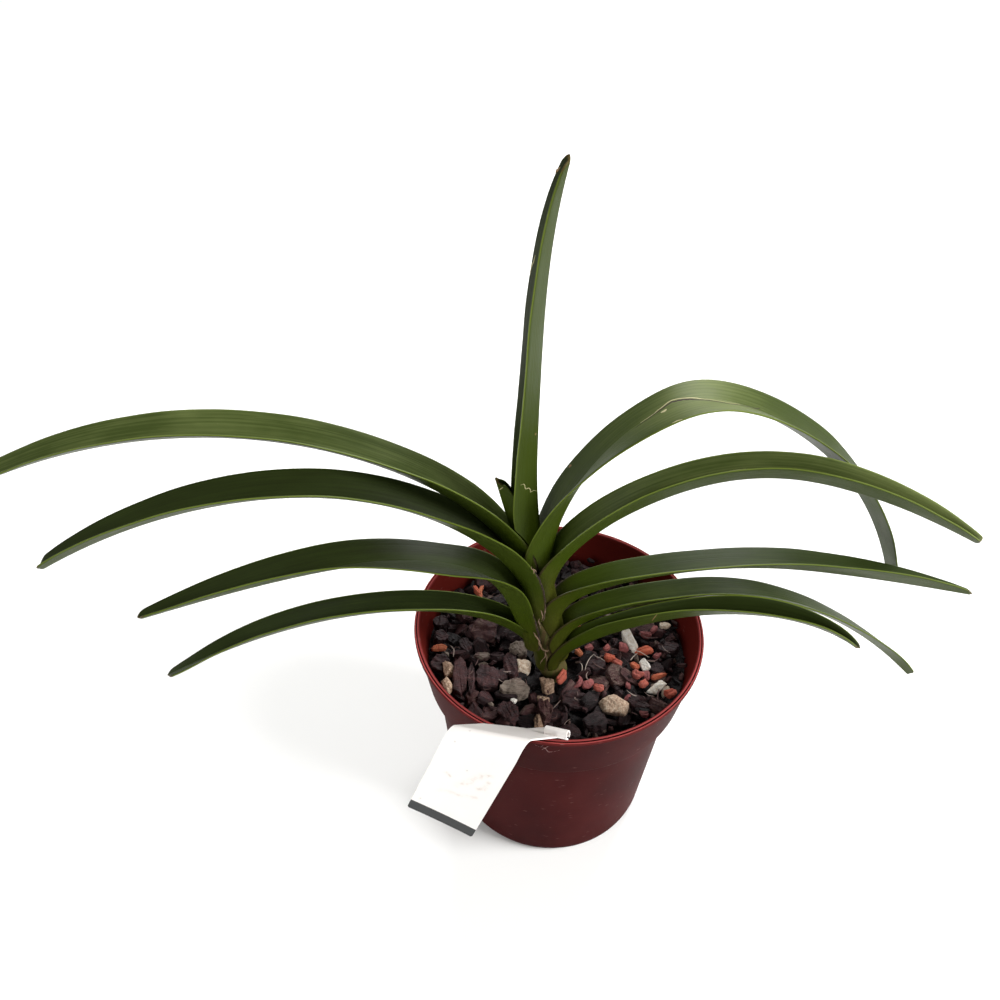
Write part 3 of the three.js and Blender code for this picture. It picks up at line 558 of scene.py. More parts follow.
# how far the end stands back at each place across: a round end, notched at the fold, near lobe shorter
def tipSetback(across):
    shape = leafShape
    notch = shape["notch"] * np.exp(-(across / shape["notchHalf"])**2)
    nearLobe = shape["shortLobe"] * np.clip(across / shape["lobeOver"], 0, 1)
    return notch + nearLobe + shape["rounding"] * (1 - np.sqrt(1 - shape["roundingShare"] * across**2))


# a leaf's surface at a distance along, a place across (-1..1) and a layer (0 underside, 1 top).
# The section is an arc of the keel radius and then a straight blade at the fold angle, and its
# two layers are that curve moved along its own normal. Swell makes the body that leaves room for it.
def leafPoints(leaf, along, across, layer, swell=0.0, raised=0.0):
    shape = leafShape
    along, across, layer = np.broadcast_arrays(np.asarray(along, float), np.asarray(across, float),
                                               np.asarray(layer, float))
    length = leaf["length"]
    share = np.clip(along / length, 0, 1)
    late = np.clip((share - shape["biteStart"]) / (1 - shape["biteStart"]), 0, 1)
    keel, near, up, fold = keelFrame(leaf, np.minimum(along, length) - tipSetback(across) * late**2)
    narrowed = 1 - shape["sheathNarrowing"] * np.clip(-along / shape["sheathNarrowsOver"], 0, 1)
    half = leaf["half"] * widthShare(leaf, share) * narrowed + swell
    opening = np.clip(share / shape["keelOpensOver"], 0, 1)
    radius = leaf["hug"] + (shape["openKeelRadius"] - leaf["hug"]) * opening
    bend = np.pi / 2 - fold
    walk = np.abs(across) * half
    slant = np.minimum(walk / radius, bend)
    rest = np.maximum(0, walk - radius * bend)
    sideways = radius * np.sin(slant) + rest * np.cos(slant)
    upward = radius * (1 - np.cos(slant)) + rest * np.sin(slant)
    if swell:
        thick = shape["keelThick"] + (shape["marginThick"] - shape["keelThick"]) * np.abs(across)
        lift = layer * (thick + 2 * swell) - swell
    else:
        full = shape["bladeThick"] + (shape["edgeThick"] - shape["bladeThick"]) * np.abs(across)
        outer = np.clip((np.abs(across) - (1 - shape["edgeShare"])) / shape["edgeShare"], 0, 1)
        last = np.clip((share - (1 - shape["endShare"])) / shape["endShare"], 0, 1)
        edge = np.sqrt(np.maximum(0, 1 - outer**2))
        end = np.sqrt(np.maximum(shape["endLeast"], 1 - last**2))
        lift = full * (0.5 + (layer - 0.5) * edge * end) + raised
        wave = np.sin(along * 2 * np.pi / shape["waveLength"] + leaf["node"])
        wave = wave + shape["rippleShare"] * np.sin(along / shape["rippleLength"] + leaf["node"])
        lift = lift + shape["waveHeight"] * wave * across**2 * np.clip(share / shape["wavesFullFrom"], 0, 1)
    outX = (sideways - lift * np.sin(slant)) * np.sign(across)
    outZ = upward + lift * np.cos(slant)
    return keel + near * outX[..., None] + up * outZ[..., None]


# closed sheet of rows by a loop that goes out under the blade and comes back over it
def leafSheet(leaf, rows, swell=0.0):
    half = np.array(leafHalf)
    over = np.concatenate([-half[:0:-1], half])
    count = len(over)
    loopAcross = np.concatenate([over, over[-2:0:-1]])
    loopLayer = np.concatenate([np.zeros(count), np.ones(count - 2)])
    if swell:
        loopAcross = np.concatenate([over, over[::-1]])
        loopLayer = np.concatenate([np.zeros(count), np.ones(count)])
    points = leafPoints(leaf, rows[:, None], loopAcross[None], loopLayer[None], swell)
    loop = len(loopAcross)
    faces = [gridFaces(len(rows), loop, wrap=True)]
    under = np.arange(count)
    above = loop - under if not swell else loop - 1 - under
    if not swell:
        above[0], above[-1] = 0, count - 1
    lid = np.stack([under[:-1], above[:-1], above[1:], under[1:]], -1)
    bottom = (len(rows) - 1) * loop
    if swell:
        faces += [lid, lid[:, ::-1] + bottom]
    else:
        corners = np.stack([[0, above[1], 1], [count - 2, above[-2], count - 1]])
        faces += [lid[1:-1], lid[1:-1, ::-1] + bottom, corners, corners[:, ::-1] + bottom]
    # a painted sheen, where light catches a crest or tip, lightens the leaf round a middle share
    middle, spread, gain = leaf.get("pale", (0, 1, 0))
    tint = leaf["tint"] + gain * np.exp(-((rows / leaf["length"] - middle) / spread)**2)
    attributes = {
        "along": np.repeat(rows, loop), "across": np.tile(loopAcross, len(rows)),
        "upper": np.tile(np.where(np.abs(loopAcross) > 0.99, 0.5, loopLayer), len(rows)),
        "toTip": leaf["length"] - np.repeat(rows, loop), "tint": np.repeat(tint, loop),
        "node": np.full(points.size // 3, leaf["node"] / 100),
        "wide": np.tile(loopAcross, len(rows)) * leaf["half"],
    }
    return points.reshape(-1, 3), faces, attributes


# Vanda leaf: thick waxy cuticle over dark green, yellower underneath and towards the foot. Each leaf's top
# is painted lighter or darker for the light and shade it gets, and two leaves have a painted sheen
leafFinish = {
    "topDark": "#1e240d", "top": "#283212", "topLight": "#3d4820", "topPale": "#667040", "under": "#333e12",
    "foot": "#313e04", "sheath": "#403f16", "margin": "#6b7a2a", "crease": "#5d6c30", "tipBrown": "#5a4a2c",
    "scratch": "#a3a878", "dryEdge": "#33261c",
}


def waxyLeaf():
    shade = leafFinish
    material, tree, shader = newMaterial("waxyLeafCuticle", {"IOR": 1.45, "Specular IOR Level": 0.1})
    reads = {key: addNode(tree, "ShaderNodeAttribute", attribute_name=key).outputs["Fac"]
             for key in ("along", "upper", "toTip", "tint", "wide", "across", "node")}
    # pattern space in millimetres: along the leaf, across it, and one layer for each leaf
    flow = addNode(tree, "ShaderNodeCombineXYZ", {"X": reads["along"], "Y": reads["wide"],
                                                  "Z": reads["node"]})
    # [name, marks for each millimetre along and across, detail, roughness]. Veins are 0.9 mm apart, ridges
    # 0.45 mm, blotches 29 x 11 mm, and dry specks and rubs up to 2 mm
    noise = {}
    for name, marks, detail, roughness in (
            ("veins", (0.02, 1.1, 90.0), 4.0, 0.6), ("blotch", (0.035, 0.09, 40.0), 3.0, 0.5),
            ("specks", (0.5, 1.2, 70.0), 5.0, 0.7), ("ridges", (0.012, 2.2, 90.0), 3.0, 0.5)):
        space = addNode(tree, "ShaderNodeMapping", {"Vector": flow, "Scale": marks})
        noise[name] = addNode(tree, "ShaderNodeTexNoise", {"Vector": space, "Scale": 1.0, "Detail": detail,
                                                           "Roughness": roughness})
    blend = addNode(tree, "ShaderNodeMath", {0: noise["veins"], 1: noise["blotch"]}, operation="ADD")
    centred = addNode(tree, "ShaderNodeMath", {0: blend, 1: -1.0}, operation="ADD")
    # the top moves along the ramp by the light and shade painted on the leaf and by its painted sheen
    shift = addNode(tree, "ShaderNodeMath", {0: centred, 1: 0.45, 2: reads["tint"]},
                    operation="MULTIPLY_ADD")
    top = addNode(tree, "ShaderNodeValToRGB", {"Fac": shift},
                  stops=[(0.0, shade["topDark"]), (0.33, shade["top"]), (0.68, shade["topLight"]),
                         (1.0, shade["topPale"])])
    colour = addNode(tree, "ShaderNodeMix", {mixFactor: reads["upper"], mixFirst: colourOf(shade["under"]),
                                             mixSecond: top}, data_type="RGBA")
    out = addNode(tree, "ShaderNodeMath", {0: reads["across"]}, operation="ABSOLUTE")
    # [name, measure, its start and end, the mask there]: yellow-green near the foot, brown-green on the
    # oldest sheath, a pale horny margin 0.4 mm wide, a crease along the fold, a dry dark margin on the
    # first 20 mm, specks, the brown rim of the tip, and how rough the blotches are
    masks = {}
    for name, measure, start, end, first, last in (
            ("foot", reads["along"], 8, 58, 0.85, 0), ("sheath", reads["along"], -6, 16, 0.8, 0),
            ("rim", out, 0.96, 0.99, 0, 0.55), ("beyond", reads["along"], 12, 45, 0.1, 1),
            ("fold", out, 0.008, 0.03, 0.35, 0), ("outer", out, 0.9, 0.96, 0, 0.8),
            ("early", reads["along"], 9, 24, 1, 0), ("scratch", noise["specks"], 0.72, 0.78, 0, 0.5),
            ("tipBrown", reads["toTip"], 0.2, 1.3, 0.7, 0), ("dull", noise["blotch"], 0.3, 0.7, 0.36, 0.5)):
        masks[name] = addNode(tree, "ShaderNodeMapRange", {"Value": measure, "From Min": start,
                                                           "From Max": end, "To Min": first, "To Max": last},
                              interpolation_type="SMOOTHSTEP" if name == "foot" else "LINEAR")
    for name, one, other in (("margin", masks["rim"], masks["beyond"]),
                             ("crease", masks["fold"], reads["upper"]),
                             ("dryEdge", masks["outer"], masks["early"])):
        masks[name] = addNode(tree, "ShaderNodeMath", {0: one, 1: other}, operation="MULTIPLY")
    # each shade lies over the ones before it, as far as its mask lets it
    for name in ("foot", "sheath", "margin", "dryEdge", "crease", "scratch", "tipBrown"):
        colour = addNode(tree, "ShaderNodeMix", {mixFactor: masks[name], mixFirst: colour,
                                                 mixSecond: colourOf(shade[name])}, data_type="RGBA")
    bump = addNode(tree, "ShaderNodeBump", {"Height": noise["ridges"], "Strength": 0.35, "Distance": 0.0003})
    feed(tree, shader, {"Base Color": colour, "Roughness": masks["dull"], "Normal": bump})
    return material


# distances along a leaf, closer together towards its foot and its tip
def rowsFor(leaf, count):
    u = np.linspace(0, 1, count)
    blade = leaf["length"] * (0.5 * u + 0.5 * (3 * u**2 - 2 * u**3))
    return np.concatenate([np.linspace(-leaf["sheath"], 0, leafShape["sheathRows"])[:-1], blade])


# each leaf gives way to the ones below it, and leaves a body of room for what comes after
def buildLeaves():
    shape = leafShape
    material = waxyLeaf()
    room = []
    for name, leaf in leaves.items():
        count = shape["rows"] if leaf["length"] > shape["shortLeaf"] else shape["shortRows"]
        points, faces, attributes = leafSheet(leaf, rowsFor(leaf, count))
        piece = addObject(name + "_blade", points, faces, attributes)
        cutAway(piece, room, list(attributes))
        finishPiece(piece, material, [name], sharpAngle=48)
        gap = shape["gap"]
        reach = np.linspace(0, min(shape["roomReach"], leaf["length"] + gap), shape["roomRows"])
        rows = np.concatenate([[-leaf["sheath"] - gap], reach])
        room.append(addObject(name + "_room", *leafSheet(leaf, rows, gap)[:2]))
    return room


leafRoom = buildLeaves()
print("stage: leaves")

# Scars: [leaf, layer, half width, shade] and stops of [along in millimetres, across in -1..1]
scarShape = {
    "dark": "#2b1c10", "tan": "#806642", "cream": "#b0a87e", "height": 0.05, "steps": 5,
    "waver": 0.02, "waverLength": 2.2, "seed": 40,
    "lines": [
        ("leaf_right_1", 1, 0.42, "dark", [
            (81, .12), (86.1, .06), (91.1, -.06), (96.1, -.19), (98.9, -.12), (102, -.07),
            (105.4, .11), (109, .24), (114.1, .39), (121.7, .19), (130.3, -.14)]),
        ("leaf_right_1", 1, 0.24, "cream", [
            (83, .02), (88, -.04), (92.5, -.17), (96.4, -.27), (100, -.19), (103, -.11),
            (106.6, .06), (110, .16), (114.5, .29), (120, .13)]),
        ("leaf_right_1", 1, 0.7, "cream", [(91, .13), (92.2, .1), (93.2, .05)]),
        ("leaf_right_1", 1, 0.3, "cream", [(92.6, .95), (94.2, .93), (95.8, .96)]),
        ("leaf_right_1", 1, 0.6, "tan", [(49.4, -.85), (50.2, -.84), (51, -.83)]),
        ("leaf_centre", 1, 0.4, "tan", [(154.9, -.93), (156.3, -.92), (155.6, -.84), (156.9, -.72)]),
        ("leaf_centre", 1, 0.18, "cream", [(120, -.93), (122.5, -.92), (125.7, -.84), (127.5, -.82)]),
        ("leaf_centre", 0, 0.15, "cream", [
            (45.6, .75), (45.3, .62), (42.2, .53), (41.9, .4), (39.4, .33), (39.5, .2), (38.3, .07)]),
        ("leaf_centre", 1, 0.4, "tan", [(68, -.69), (68.5, -.68), (69, -.67)]),
        ("leaf_centre", 0, 0.4, "tan", [(64.5, .18), (65, .18), (65.4, .17)]),
        ("leaf_right_5", 0, 0.22, "tan", [(49.5, .35), (51.5, .71), (52.9, .96)]),
        ("leaf_right_2", 1, 0.2, "cream", [(86.5, .95), (89, .95), (91.5, .95)]),
        ("leaf_new", 0, 0.16, "cream", [(33.6, .18), (34.4, .45), (35.2, .7)]),
    ],
}


# Dry plant fibre: dull, each strip in a shade of its own, and flecked every millimetre or two if asked
def dryFibre(name, roughness, stops, fleckScale=0):
    material, tree, shader = newMaterial(name, {"Roughness": roughness, "IOR": 1.45})
    tone = addNode(tree, "ShaderNodeAttribute", attribute_name="tone").outputs["Fac"]
    if fleckScale:
        place = addNode(tree, "ShaderNodeTexCoord").outputs["Object"]
        fleck = addNode(tree, "ShaderNodeTexNoise", {"Vector": place, "Scale": fleckScale, "Detail": 4.0})
        tone = addNode(tree, "ShaderNodeMath", {0: fleck, 1: tone}, operation="ADD")
    ramp = addNode(tree, "ShaderNodeValToRGB", {"Fac": tone}, stops=stops)
    feed(tree, shader, {"Base Color": ramp})
    return material


# strips fused into one piece, each with a tone of its own
def addStrips(name, strips, tones):
    perPoint = np.concatenate([np.full(len(points), tone) for (points, _), tone in zip(strips, tones)])
    return addObject(name, *fuse(strips), {"tone": perPoint})


# a flat ellipse carried along the leaf's skin, its side direction (skin normal) x (path direction)
def buildScars():
    shape = scarShape
    strips, tones = [], []
    for k, (name, layer, wide, shade, stops) in enumerate(shape["lines"]):
        spots = np.array(stops, float)
        at = np.linspace(0, len(spots) - 1, shape["steps"] * (len(spots) - 1) + 1)
        along, across = (np.interp(at, np.arange(len(spots)), spots[:, i]) for i in (0, 1))
        line = np.column_stack([along, along * 0, along * 0 + k])
        across = across + shape["waver"] * lumps(line, shape["waverLength"], shape["seed"] + k)
        skin, above = (leafPoints(leaves[name], along, across, float(layer), raised=up) for up in (0.0, 1.0))
        normal = unit(above - skin) * (1 if layer else -1)
        side = unit(np.cross(normal, np.gradient(skin, axis=0)))
        strips.append(carried(skin, side, normal, wide * slimming(len(skin), 0.25), shape["height"]))
        tones.append({"dark": 0.0, "tan": 0.5, "cream": 1.0}[shade])
    material = dryFibre("dryLeafScar", 0.75,
                        [(0.0, shape["dark"]), (0.5, shape["tan"]), (1.0, shape["cream"])])
    finishPiece(addStrips("leaf_scars", strips, tones), material)


buildScars()
print("stage: scars")

# Stem: [height, half width, half depth], a flattened core between the sheaths
stemShape = {
    "levels": [(63, 2.9, 2.9), (66, 4.2, 4.2), (95, 4.2, 4.2), (100.5, 6.4, 4.0), (107, 6.0, 3.0),
               (141, 6.0, 2.9), (158, 4.2, 2.3), (165.5, 3.0, 1.7)],
    "loop": 40, "rows": 90, "green": "#4d4f20", "brown": "#5b4a2a",
    "ringHeight": 0.12, "ringSpacing": 6.3, "ringsFrom": 102,
}


# Stem skin: fibrous brown-green bark of the old sheaths. Fibres are 1 mm apart and run up the stem
def stemSkin():
    material, tree, shader = newMaterial("stemSkin", {"Roughness": 0.62, "IOR": 1.45})
    place = addNode(tree, "ShaderNodeTexCoord").outputs["Object"]
    upright = addNode(tree, "ShaderNodeMapping", {"Vector": place, "Scale": (1.0, 1.0, 0.16)})
    fibre = addNode(tree, "ShaderNodeTexNoise", {"Vector": upright, "Scale": 900.0, "Detail": 4.0})
    tone = addNode(tree, "ShaderNodeValToRGB", {"Fac": fibre},
                   stops=[(0.35, stemShape["brown"]), (0.65, stemShape["green"])])
    bump = addNode(tree, "ShaderNodeBump", {"Height": fibre, "Strength": 0.5, "Distance": 0.0004})
    feed(tree, shader, {"Base Color": tone, "Normal": bump})
    return material


# an ellipse carried up the stem's middle, with the low rings that old sheaths left: h sin(2 pi z / spacing)
def buildStem():
    shape = stemShape
    height, halfWidth, halfDepth = np.array(shape["levels"]).T
    heights = np.linspace(height[0], height[-1], shape["rows"])
    ring = shape["ringHeight"] * np.sin(heights * 2 * np.pi / shape["ringSpacing"])
    ring = ring * (heights > shape["ringsFrom"])
    path = np.stack([stemPoint(h) for h in heights])
    points, faces = carried(path, [1.0, 0, 0], [0, 1.0, 0], smoothThrough(height, halfWidth, heights) + ring,
                            smoothThrough(height, halfDepth, heights) + ring, loop=shape["loop"])
    piece = addObject("stem_core", points, faces)
    cutAway(piece, leafRoom)
    finishPiece(piece, stemSkin(), ["stem"])


# Dry rags of old sheaths, hanging down the front of the stem
ragShape = {
    "halfThick": 0.12, "steps": 9, "dark": "#241813", "pale": "#7d6653",
    # sideways, in depth, and in the share of the width: (size, wavelength, seed)
    "wavers": [(0.22, 2.4, 61), (0.15, 3.1, 62), (0.35, 1.7, 63)],
    # (tone, half width, [(x, y, z)])
    "wisps": [
        (0.0, 0.34, [(-13.4, -21.6, 166.6), (-12.2, -21.5, 163.8), (-10.7, -21, 159.6),
            (-9.4, -20.5, 154.9), (-8.4, -20.2, 150.0), (-7.9, -20, 144.7)]),
        (0.2, 0.3, [(-7.9, -20, 145.1), (-7.9, -20, 141.9), (-8.0, -20, 138.6), (-8.5, -20.2, 136.0)]),
        (0.0, 0.3, [(-12.9, -23, 143.2), (-11.8, -22.7, 138.2), (-10.8, -22.4, 133.2),
            (-9.9, -22.2, 128.2), (-9.2, -22.1, 123.4), (-9.6, -22, 118.9)]),
        (1.0, 0.26, [(-14.5, -21.8, 168.7), (-13.9, -21.9, 167.4), (-13.3, -21.9, 167.1),
            (-12.7, -21.8, 165.8)]),
        (0.8, 0.2, [(-13.7, -21.9, 167.4), (-13.4, -22, 166.1), (-13.6, -21.9, 164.9)]),
        (0.85, 0.22, [(-9.8, -20.6, 142.6), (-9.1, -20.6, 140.7), (-8.7, -20.5, 138.7),
            (-9.2, -20.6, 137.0)]),
        (0.6, 0.24, [(-10.0, -21, 138.2), (-10.3, -21.2, 136.4), (-9.8, -21.4, 134.4),
            (-9.2, -21.2, 131.7)]),
        (0.9, 0.26, [(-12.4, -22.6, 131.3), (-11.4, -22.8, 129.2), (-10.1, -22.8, 126.9),
            (-9.3, -22.6, 123.9), (-7.9, -22.2, 120.6)]),
        (0.7, 0.22, [(-11.1, -22.8, 129.6), (-9.9, -22.9, 125.8), (-9.0, -22.6, 122.0),
            (-7.4, -22.2, 119.2)]),
        (1.0, 0.24, [(-7.9, -22.2, 120.6), (-6.9, -22, 119.1), (-5.9, -21.8, 118.6),
            (-5.3, -21.6, 119.2)]),
        (0.8, 0.22, [(-7.0, -22, 119.3), (-6.6, -21.9, 116.6), (-7.1, -21.8, 114.0),
            (-8.1, -21.7, 112.0), (-8.6, -21.6, 109.7)]),
        (0.5, 0.18, [(-6.6, -21.8, 116.8), (-5.9, -21.7, 114.2), (-6.0, -21.6, 111.4)]),
    ],
}


# flat wavering wisps along the sheath edges, thin and slimmer towards both ends
def buildRags():
    shape = ragShape
    strips, tones = [], []
    for k, (tone, halfWidth, stops) in enumerate(shape["wisps"]):
        path = pathThrough(stops, shape["steps"] * (len(stops) - 1) + 1)
        for axis, (size, length, seed) in enumerate(shape["wavers"][:2]):
            path[:, axis] += size * lumps(path + 10 * k, length, seed)
        way = unit(np.gradient(path, axis=0))
        side = unit(np.cross([0.0, -1, 0], way))
        slim = slimming(len(path), 0.2)
        size, length, seed = shape["wavers"][2]
        wide = halfWidth * slim * (1 + size * lumps(path + 10 * k, length, seed))
        strips.append(carried(path, side, np.cross(way, side), wide, shape["halfThick"] * slim))
        tones.append(tone)
    material = dryFibre("drySheathFibre", 0.85, [(0.5, shape["dark"]), (1.0, shape["pale"])],
                        fleckScale=700.0)
    finishPiece(addStrips("sheath_rags", strips, tones), material)


buildStem()
buildRags()
for helper in leafRoom:
    bpy.data.objects.remove(helper)
print("stage: stem")

# Loose medium: a bed, scattered bits, and bits that each have a place of their own
mediumShape = {
    "top": 99.0, "bedTop": 94.5, "bedSides": 260, "spread": 60.0, "mouth": 61.0, "stemClear": 10.5,
    "bedCorners": [(0, 2.4, 0), (44, 2.4, 1), (46.6, 4.6, 1), (54, 86.9, 0.5), (57.4, 87.3, 0.5),
                   (59.4, 94.5, 1), (0, 94.5, 0)],
    # heights, wavelengths and seeds of its lumps, and the same for its tone round a mean
    "soil": [(0.9, 5, 31), (0.6, 2.2, 32)], "soilWithin": 59, "soilMean": 0.22, "soilTone": (0.15, 3, 33),
    "seed": 11, "barkCount": 230, "barkGap": 4.5, "crumbCount": 520, "crumbsOnLeft": 0.6, "leftOf": -10,
    # lengths, widths and heights, and how far from the top the middles lie
    "barkSizes": ((7, 16), (5, 10), (2.2, 5.5)), "barkLift": (-3.2, 1.0), "barkInset": 3.5,
    "barkTilt": 0.42, "barkTiltMost": 0.9, "barkTones": (0.45, 0.2), "barkLeastFit": 0.45,
    "crumbSizes": ((2.5, 7), (1.2, 3.2), (0.8, 2.2)), "crumbLift": (-1.8, 2.2), "crumbInset": 0.8,
    "crumbTilt": 0.8, "crumbTones": (0.45, 0.26),
    "chunkLift": 1.1, "stoneLift": 2.0, "pelletLift": 2.9,
    "barkStops": [(0.05, "#0b0708"), (0.3, "#1a1011"), (0.5, "#2a191a"), (0.66, "#391e1e"), (0.8, "#4b3632"),
                  (1.0, "#64594f")],
    "stoneStops": [(0.2, "#4a382c"), (0.42, "#7d6552"), (0.58, "#a58d78"), (0.72, "#bfb09c"),
                   (0.95, "#d2cec6")],
    "pelletStops": [(0.0, "#532a29"), (0.3, "#814847"), (0.5, "#964f43"), (0.7, "#a04a35"),
                    (0.95, "#a56545")],
    # [x, y, length, width, height, turn, lean in degrees, tone, split depth]
    "chunks": [(-54.1, 8.9, 8, 9, 6, 5, 10, 0.42, 0.2), (-53.5, 0.1, 8, 7, 5, -20, 15, 0.5, 0.4),
               (-41.4, -4.4, 6, 11, 4, 20, 12, 0.36, 0.1), (-33.5, 4.6, 12.5, 14, 8, 8, 12, 0.68, 1.0),
               (-34, -9.9, 8, 3.6, 3, 0, 0, 0.85, 0.7), (-17.8, -6.6, 8, 9, 7, 15, 5, 0.95, 1.0),
               (-20, 4, 8, 7, 5, 0, 10, 0.4, 0.8), (-43.9, -23, 7, 20, 6, 4, 14, 0.6, 0.3),
               (-38.4, -23.4, 3.4, 20, 5, 2, -8, 0.55, 0.3), (-31.4, -22.7, 11, 13, 7, -12, 8, 0.56, 0.5),
               (-20.9, -15.4, 8, 17, 4.5, 14, 20, 0.6, 0.2), (-19.8, -28.5, 13, 8.5, 6, 3, 4, 1.04, 1.0),
               (-11.4, -24.3, 7, 6, 4, 0, 0, 0.12, 0.3), (-52.2, -14.6, 9.5, 9, 4, -10, 12, 0.46, 0.3),
               (25.7, -19.9, 9.5, 10.5, 4, 25, 22, 0.78, 0.1), (6.4, -33.5, 13, 8.5, 4, -6, 10, 0.5, 0.1),
               (43.9, -15.8, 7, 7, 3, 10, 12, 0.44, 0.1), (51, -4.1, 10, 9, 4, -20, 20, 0.44, 0.3),
               (-7.3, -40.2, 6.8, 13, 8, 3, 20, 0.72, 0.3), (-22.2, -40.6, 9, 11, 6, 20, 12, 0.5, 0.6),
               (33, -33.5, 12, 6, 4, -22, 10, 0.5, 0.7), (17, -14.5, 9, 7, 4, 15, 12, 0.45, 0.4),
               (14.4, -45.5, 12, 9, 6, 30, 14, 0.4, 0.5), (3, -51, 10, 8, 6, -15, 10, 0.48, 0.4)],
    # [x, y, length, width, height, turn, tilt in degrees, tone]
    "stones": [(-15.6, -16.4, 7, 7, 6, 0, 0, 0.66), (-5.1, -26.6, 5.6, 7.5, 7.5, 0, 10, 0.42),
               (22.7, -36.6, 12.5, 9.5, 7, -24, 14, 0.55), (38.8, -14.6, 5, 6.6, 5.5, 20, 20, 0.95),
               (33.5, -1.3, 5.4, 11, 4.6, 28, 25, 0.88), (42.9, -26.7, 7.4, 4.2, 4, 38, 35, 0.86),
               (46.2, -28.2, 4.4, 3.4, 3, 70, 20, 0.72), (50.8, 9.4, 5, 3.6, 3, 10, 10, 0.7),
               (-48.7, -18.6, 4.4, 6.6, 5, 10, 20, 0.45), (-49, -27.4, 4.6, 7.4, 5, 24, 20, 0.5),
               (-9.6, -46.5, 3.6, 6.5, 5, 0, 20, 0.36), (-7.3, -34.6, 5.6, 3.4, 4.4, 3, 12, 0.5),
               (-20, -34.8, 2.6, 2.6, 2.4, 0, 0, 0.95)],
    # [x, y, length, width, turn in degrees, bend, tone]
    "pellets": [(23.4, -10.6, 6.1, 3.6, -14, 0.5, 0.68), (26.4, -13.6, 5.2, 3.2, -32, 0.2, 0.52),
                (29.8, -4, 4.2, 3.7, 80, 0.3, 0.28), (39.3, -6.2, 8, 4.2, 14, 0.2, 0.74),
                (44.6, -9.4, 3.4, 3, 60, 0.2, 0.18), (34.3, -15, 4.8, 3.3, -52, 0.3, 0.8),
                (34.1, -20.6, 4.8, 3.3, -42, 0.3, 0.45), (38.8, -20.8, 4.6, 2.7, 84, 0.3, 0.2),
                (44, -20.8, 6.4, 2.9, 22, 0.2, 0.8), (36.9, -25.2, 5.2, 3.6, 34, 0.4, 0.55),
                (48.2, -29.8, 6.4, 4, 46, 0.6, 0.62), (8.9, -24.6, 5, 2.7, 60, 1.2, 0.18),
                (12.7, -25.7, 6.3, 4, 26, 0.4, 0.3), (17.1, -27.6, 5.2, 3.3, -24, 0.3, 0.5),
                (0.9, -21.9, 8.4, 3.9, 58, 0.6, 0.6), (14.3, -4.9, 4.6, 3, 20, 0.4, 0.25),
                (10, -8.3, 4, 2.6, -36, 0.3, 0.9), (22.5, -5, 3.8, 2.9, 40, 0.3, 0.36),
                (41.5, 3.2, 5.6, 3.4, -10, 0.3, 0.1), (45.3, 6.6, 5.2, 2.8, 56, 0.4, 0.2),
                (9.7, 6.2, 5, 3, 26, 0.4, 0.85), (35.5, -41.6, 3.8, 2.6, 10, 0.2, 0.1),
                (29.9, -26.4, 3.4, 2.6, 70, 0.2, 0.15), (29.6, -32.4, 2.8, 2.4, 0, 0.1, 0.15),
                (-54, -7.3, 7.4, 3.2, 0, -1.5, 0.85), (-38, 30.6, 7.4, 2.4, -62, 0.9, 0.75),
                (-35.9, 29.6, 7, 2.2, 82, -0.7, 0.85), (-19.5, 23.2, 3.8, 3.2, 70, 0.3, 0.3)],
}


# local shapes tilted about x and y, turned about z and moved to their centres
def placed(local, centres, turns, tilts):
    a, b, c = np.asarray(tilts)[:, 0], np.asarray(tilts)[:, 1], np.asarray(turns)
    one, nil = np.ones(len(a)), np.zeros(len(a))
    tiltX, tiltY, turnZ = (np.stack(terms, -1).reshape(-1, 3, 3) for terms in (
        [one, nil, nil, nil, np.cos(a), -np.sin(a), nil, np.sin(a), np.cos(a)],
        [np.cos(b), nil, np.sin(b), nil, one, nil, -np.sin(b), nil, np.cos(b)],
        [np.cos(c), -np.sin(c), nil, np.sin(c), np.cos(c), nil, nil, nil, one]))
    return np.einsum("nij,nvj->nvi", turnZ @ tiltY @ tiltX, local) + np.asarray(centres)[:, None, :]


# faces of many closed bodies alike: rings of points, then an upper and a lower pole
def ringFaces(count, rows, columns):
    here, after = np.arange(columns), (np.arange(columns) + 1) % columns
    last, north, south = (rows - 1) * columns, rows * columns, rows * columns + 1
    quads = gridFaces(rows, columns, wrap=True)
    caps = np.concatenate([np.stack([np.full(columns, north), after, here], -1),
                           np.stack([np.full(columns, south), last + here, last + after], -1)])
    step = (np.arange(count) * (rows * columns + 2))[:, None, None]
    return [(quads + step).reshape(-1, 4), (caps + step).reshape(-1, 3)]


# how stones and pellets are cut: six sides a little askew at these distances, and further cuts
lumpShape = {"askew": 0.22, "sides": (0.8, 1.0), "cuts": (0.85, 1.2), "grooveHalf": 0.25}


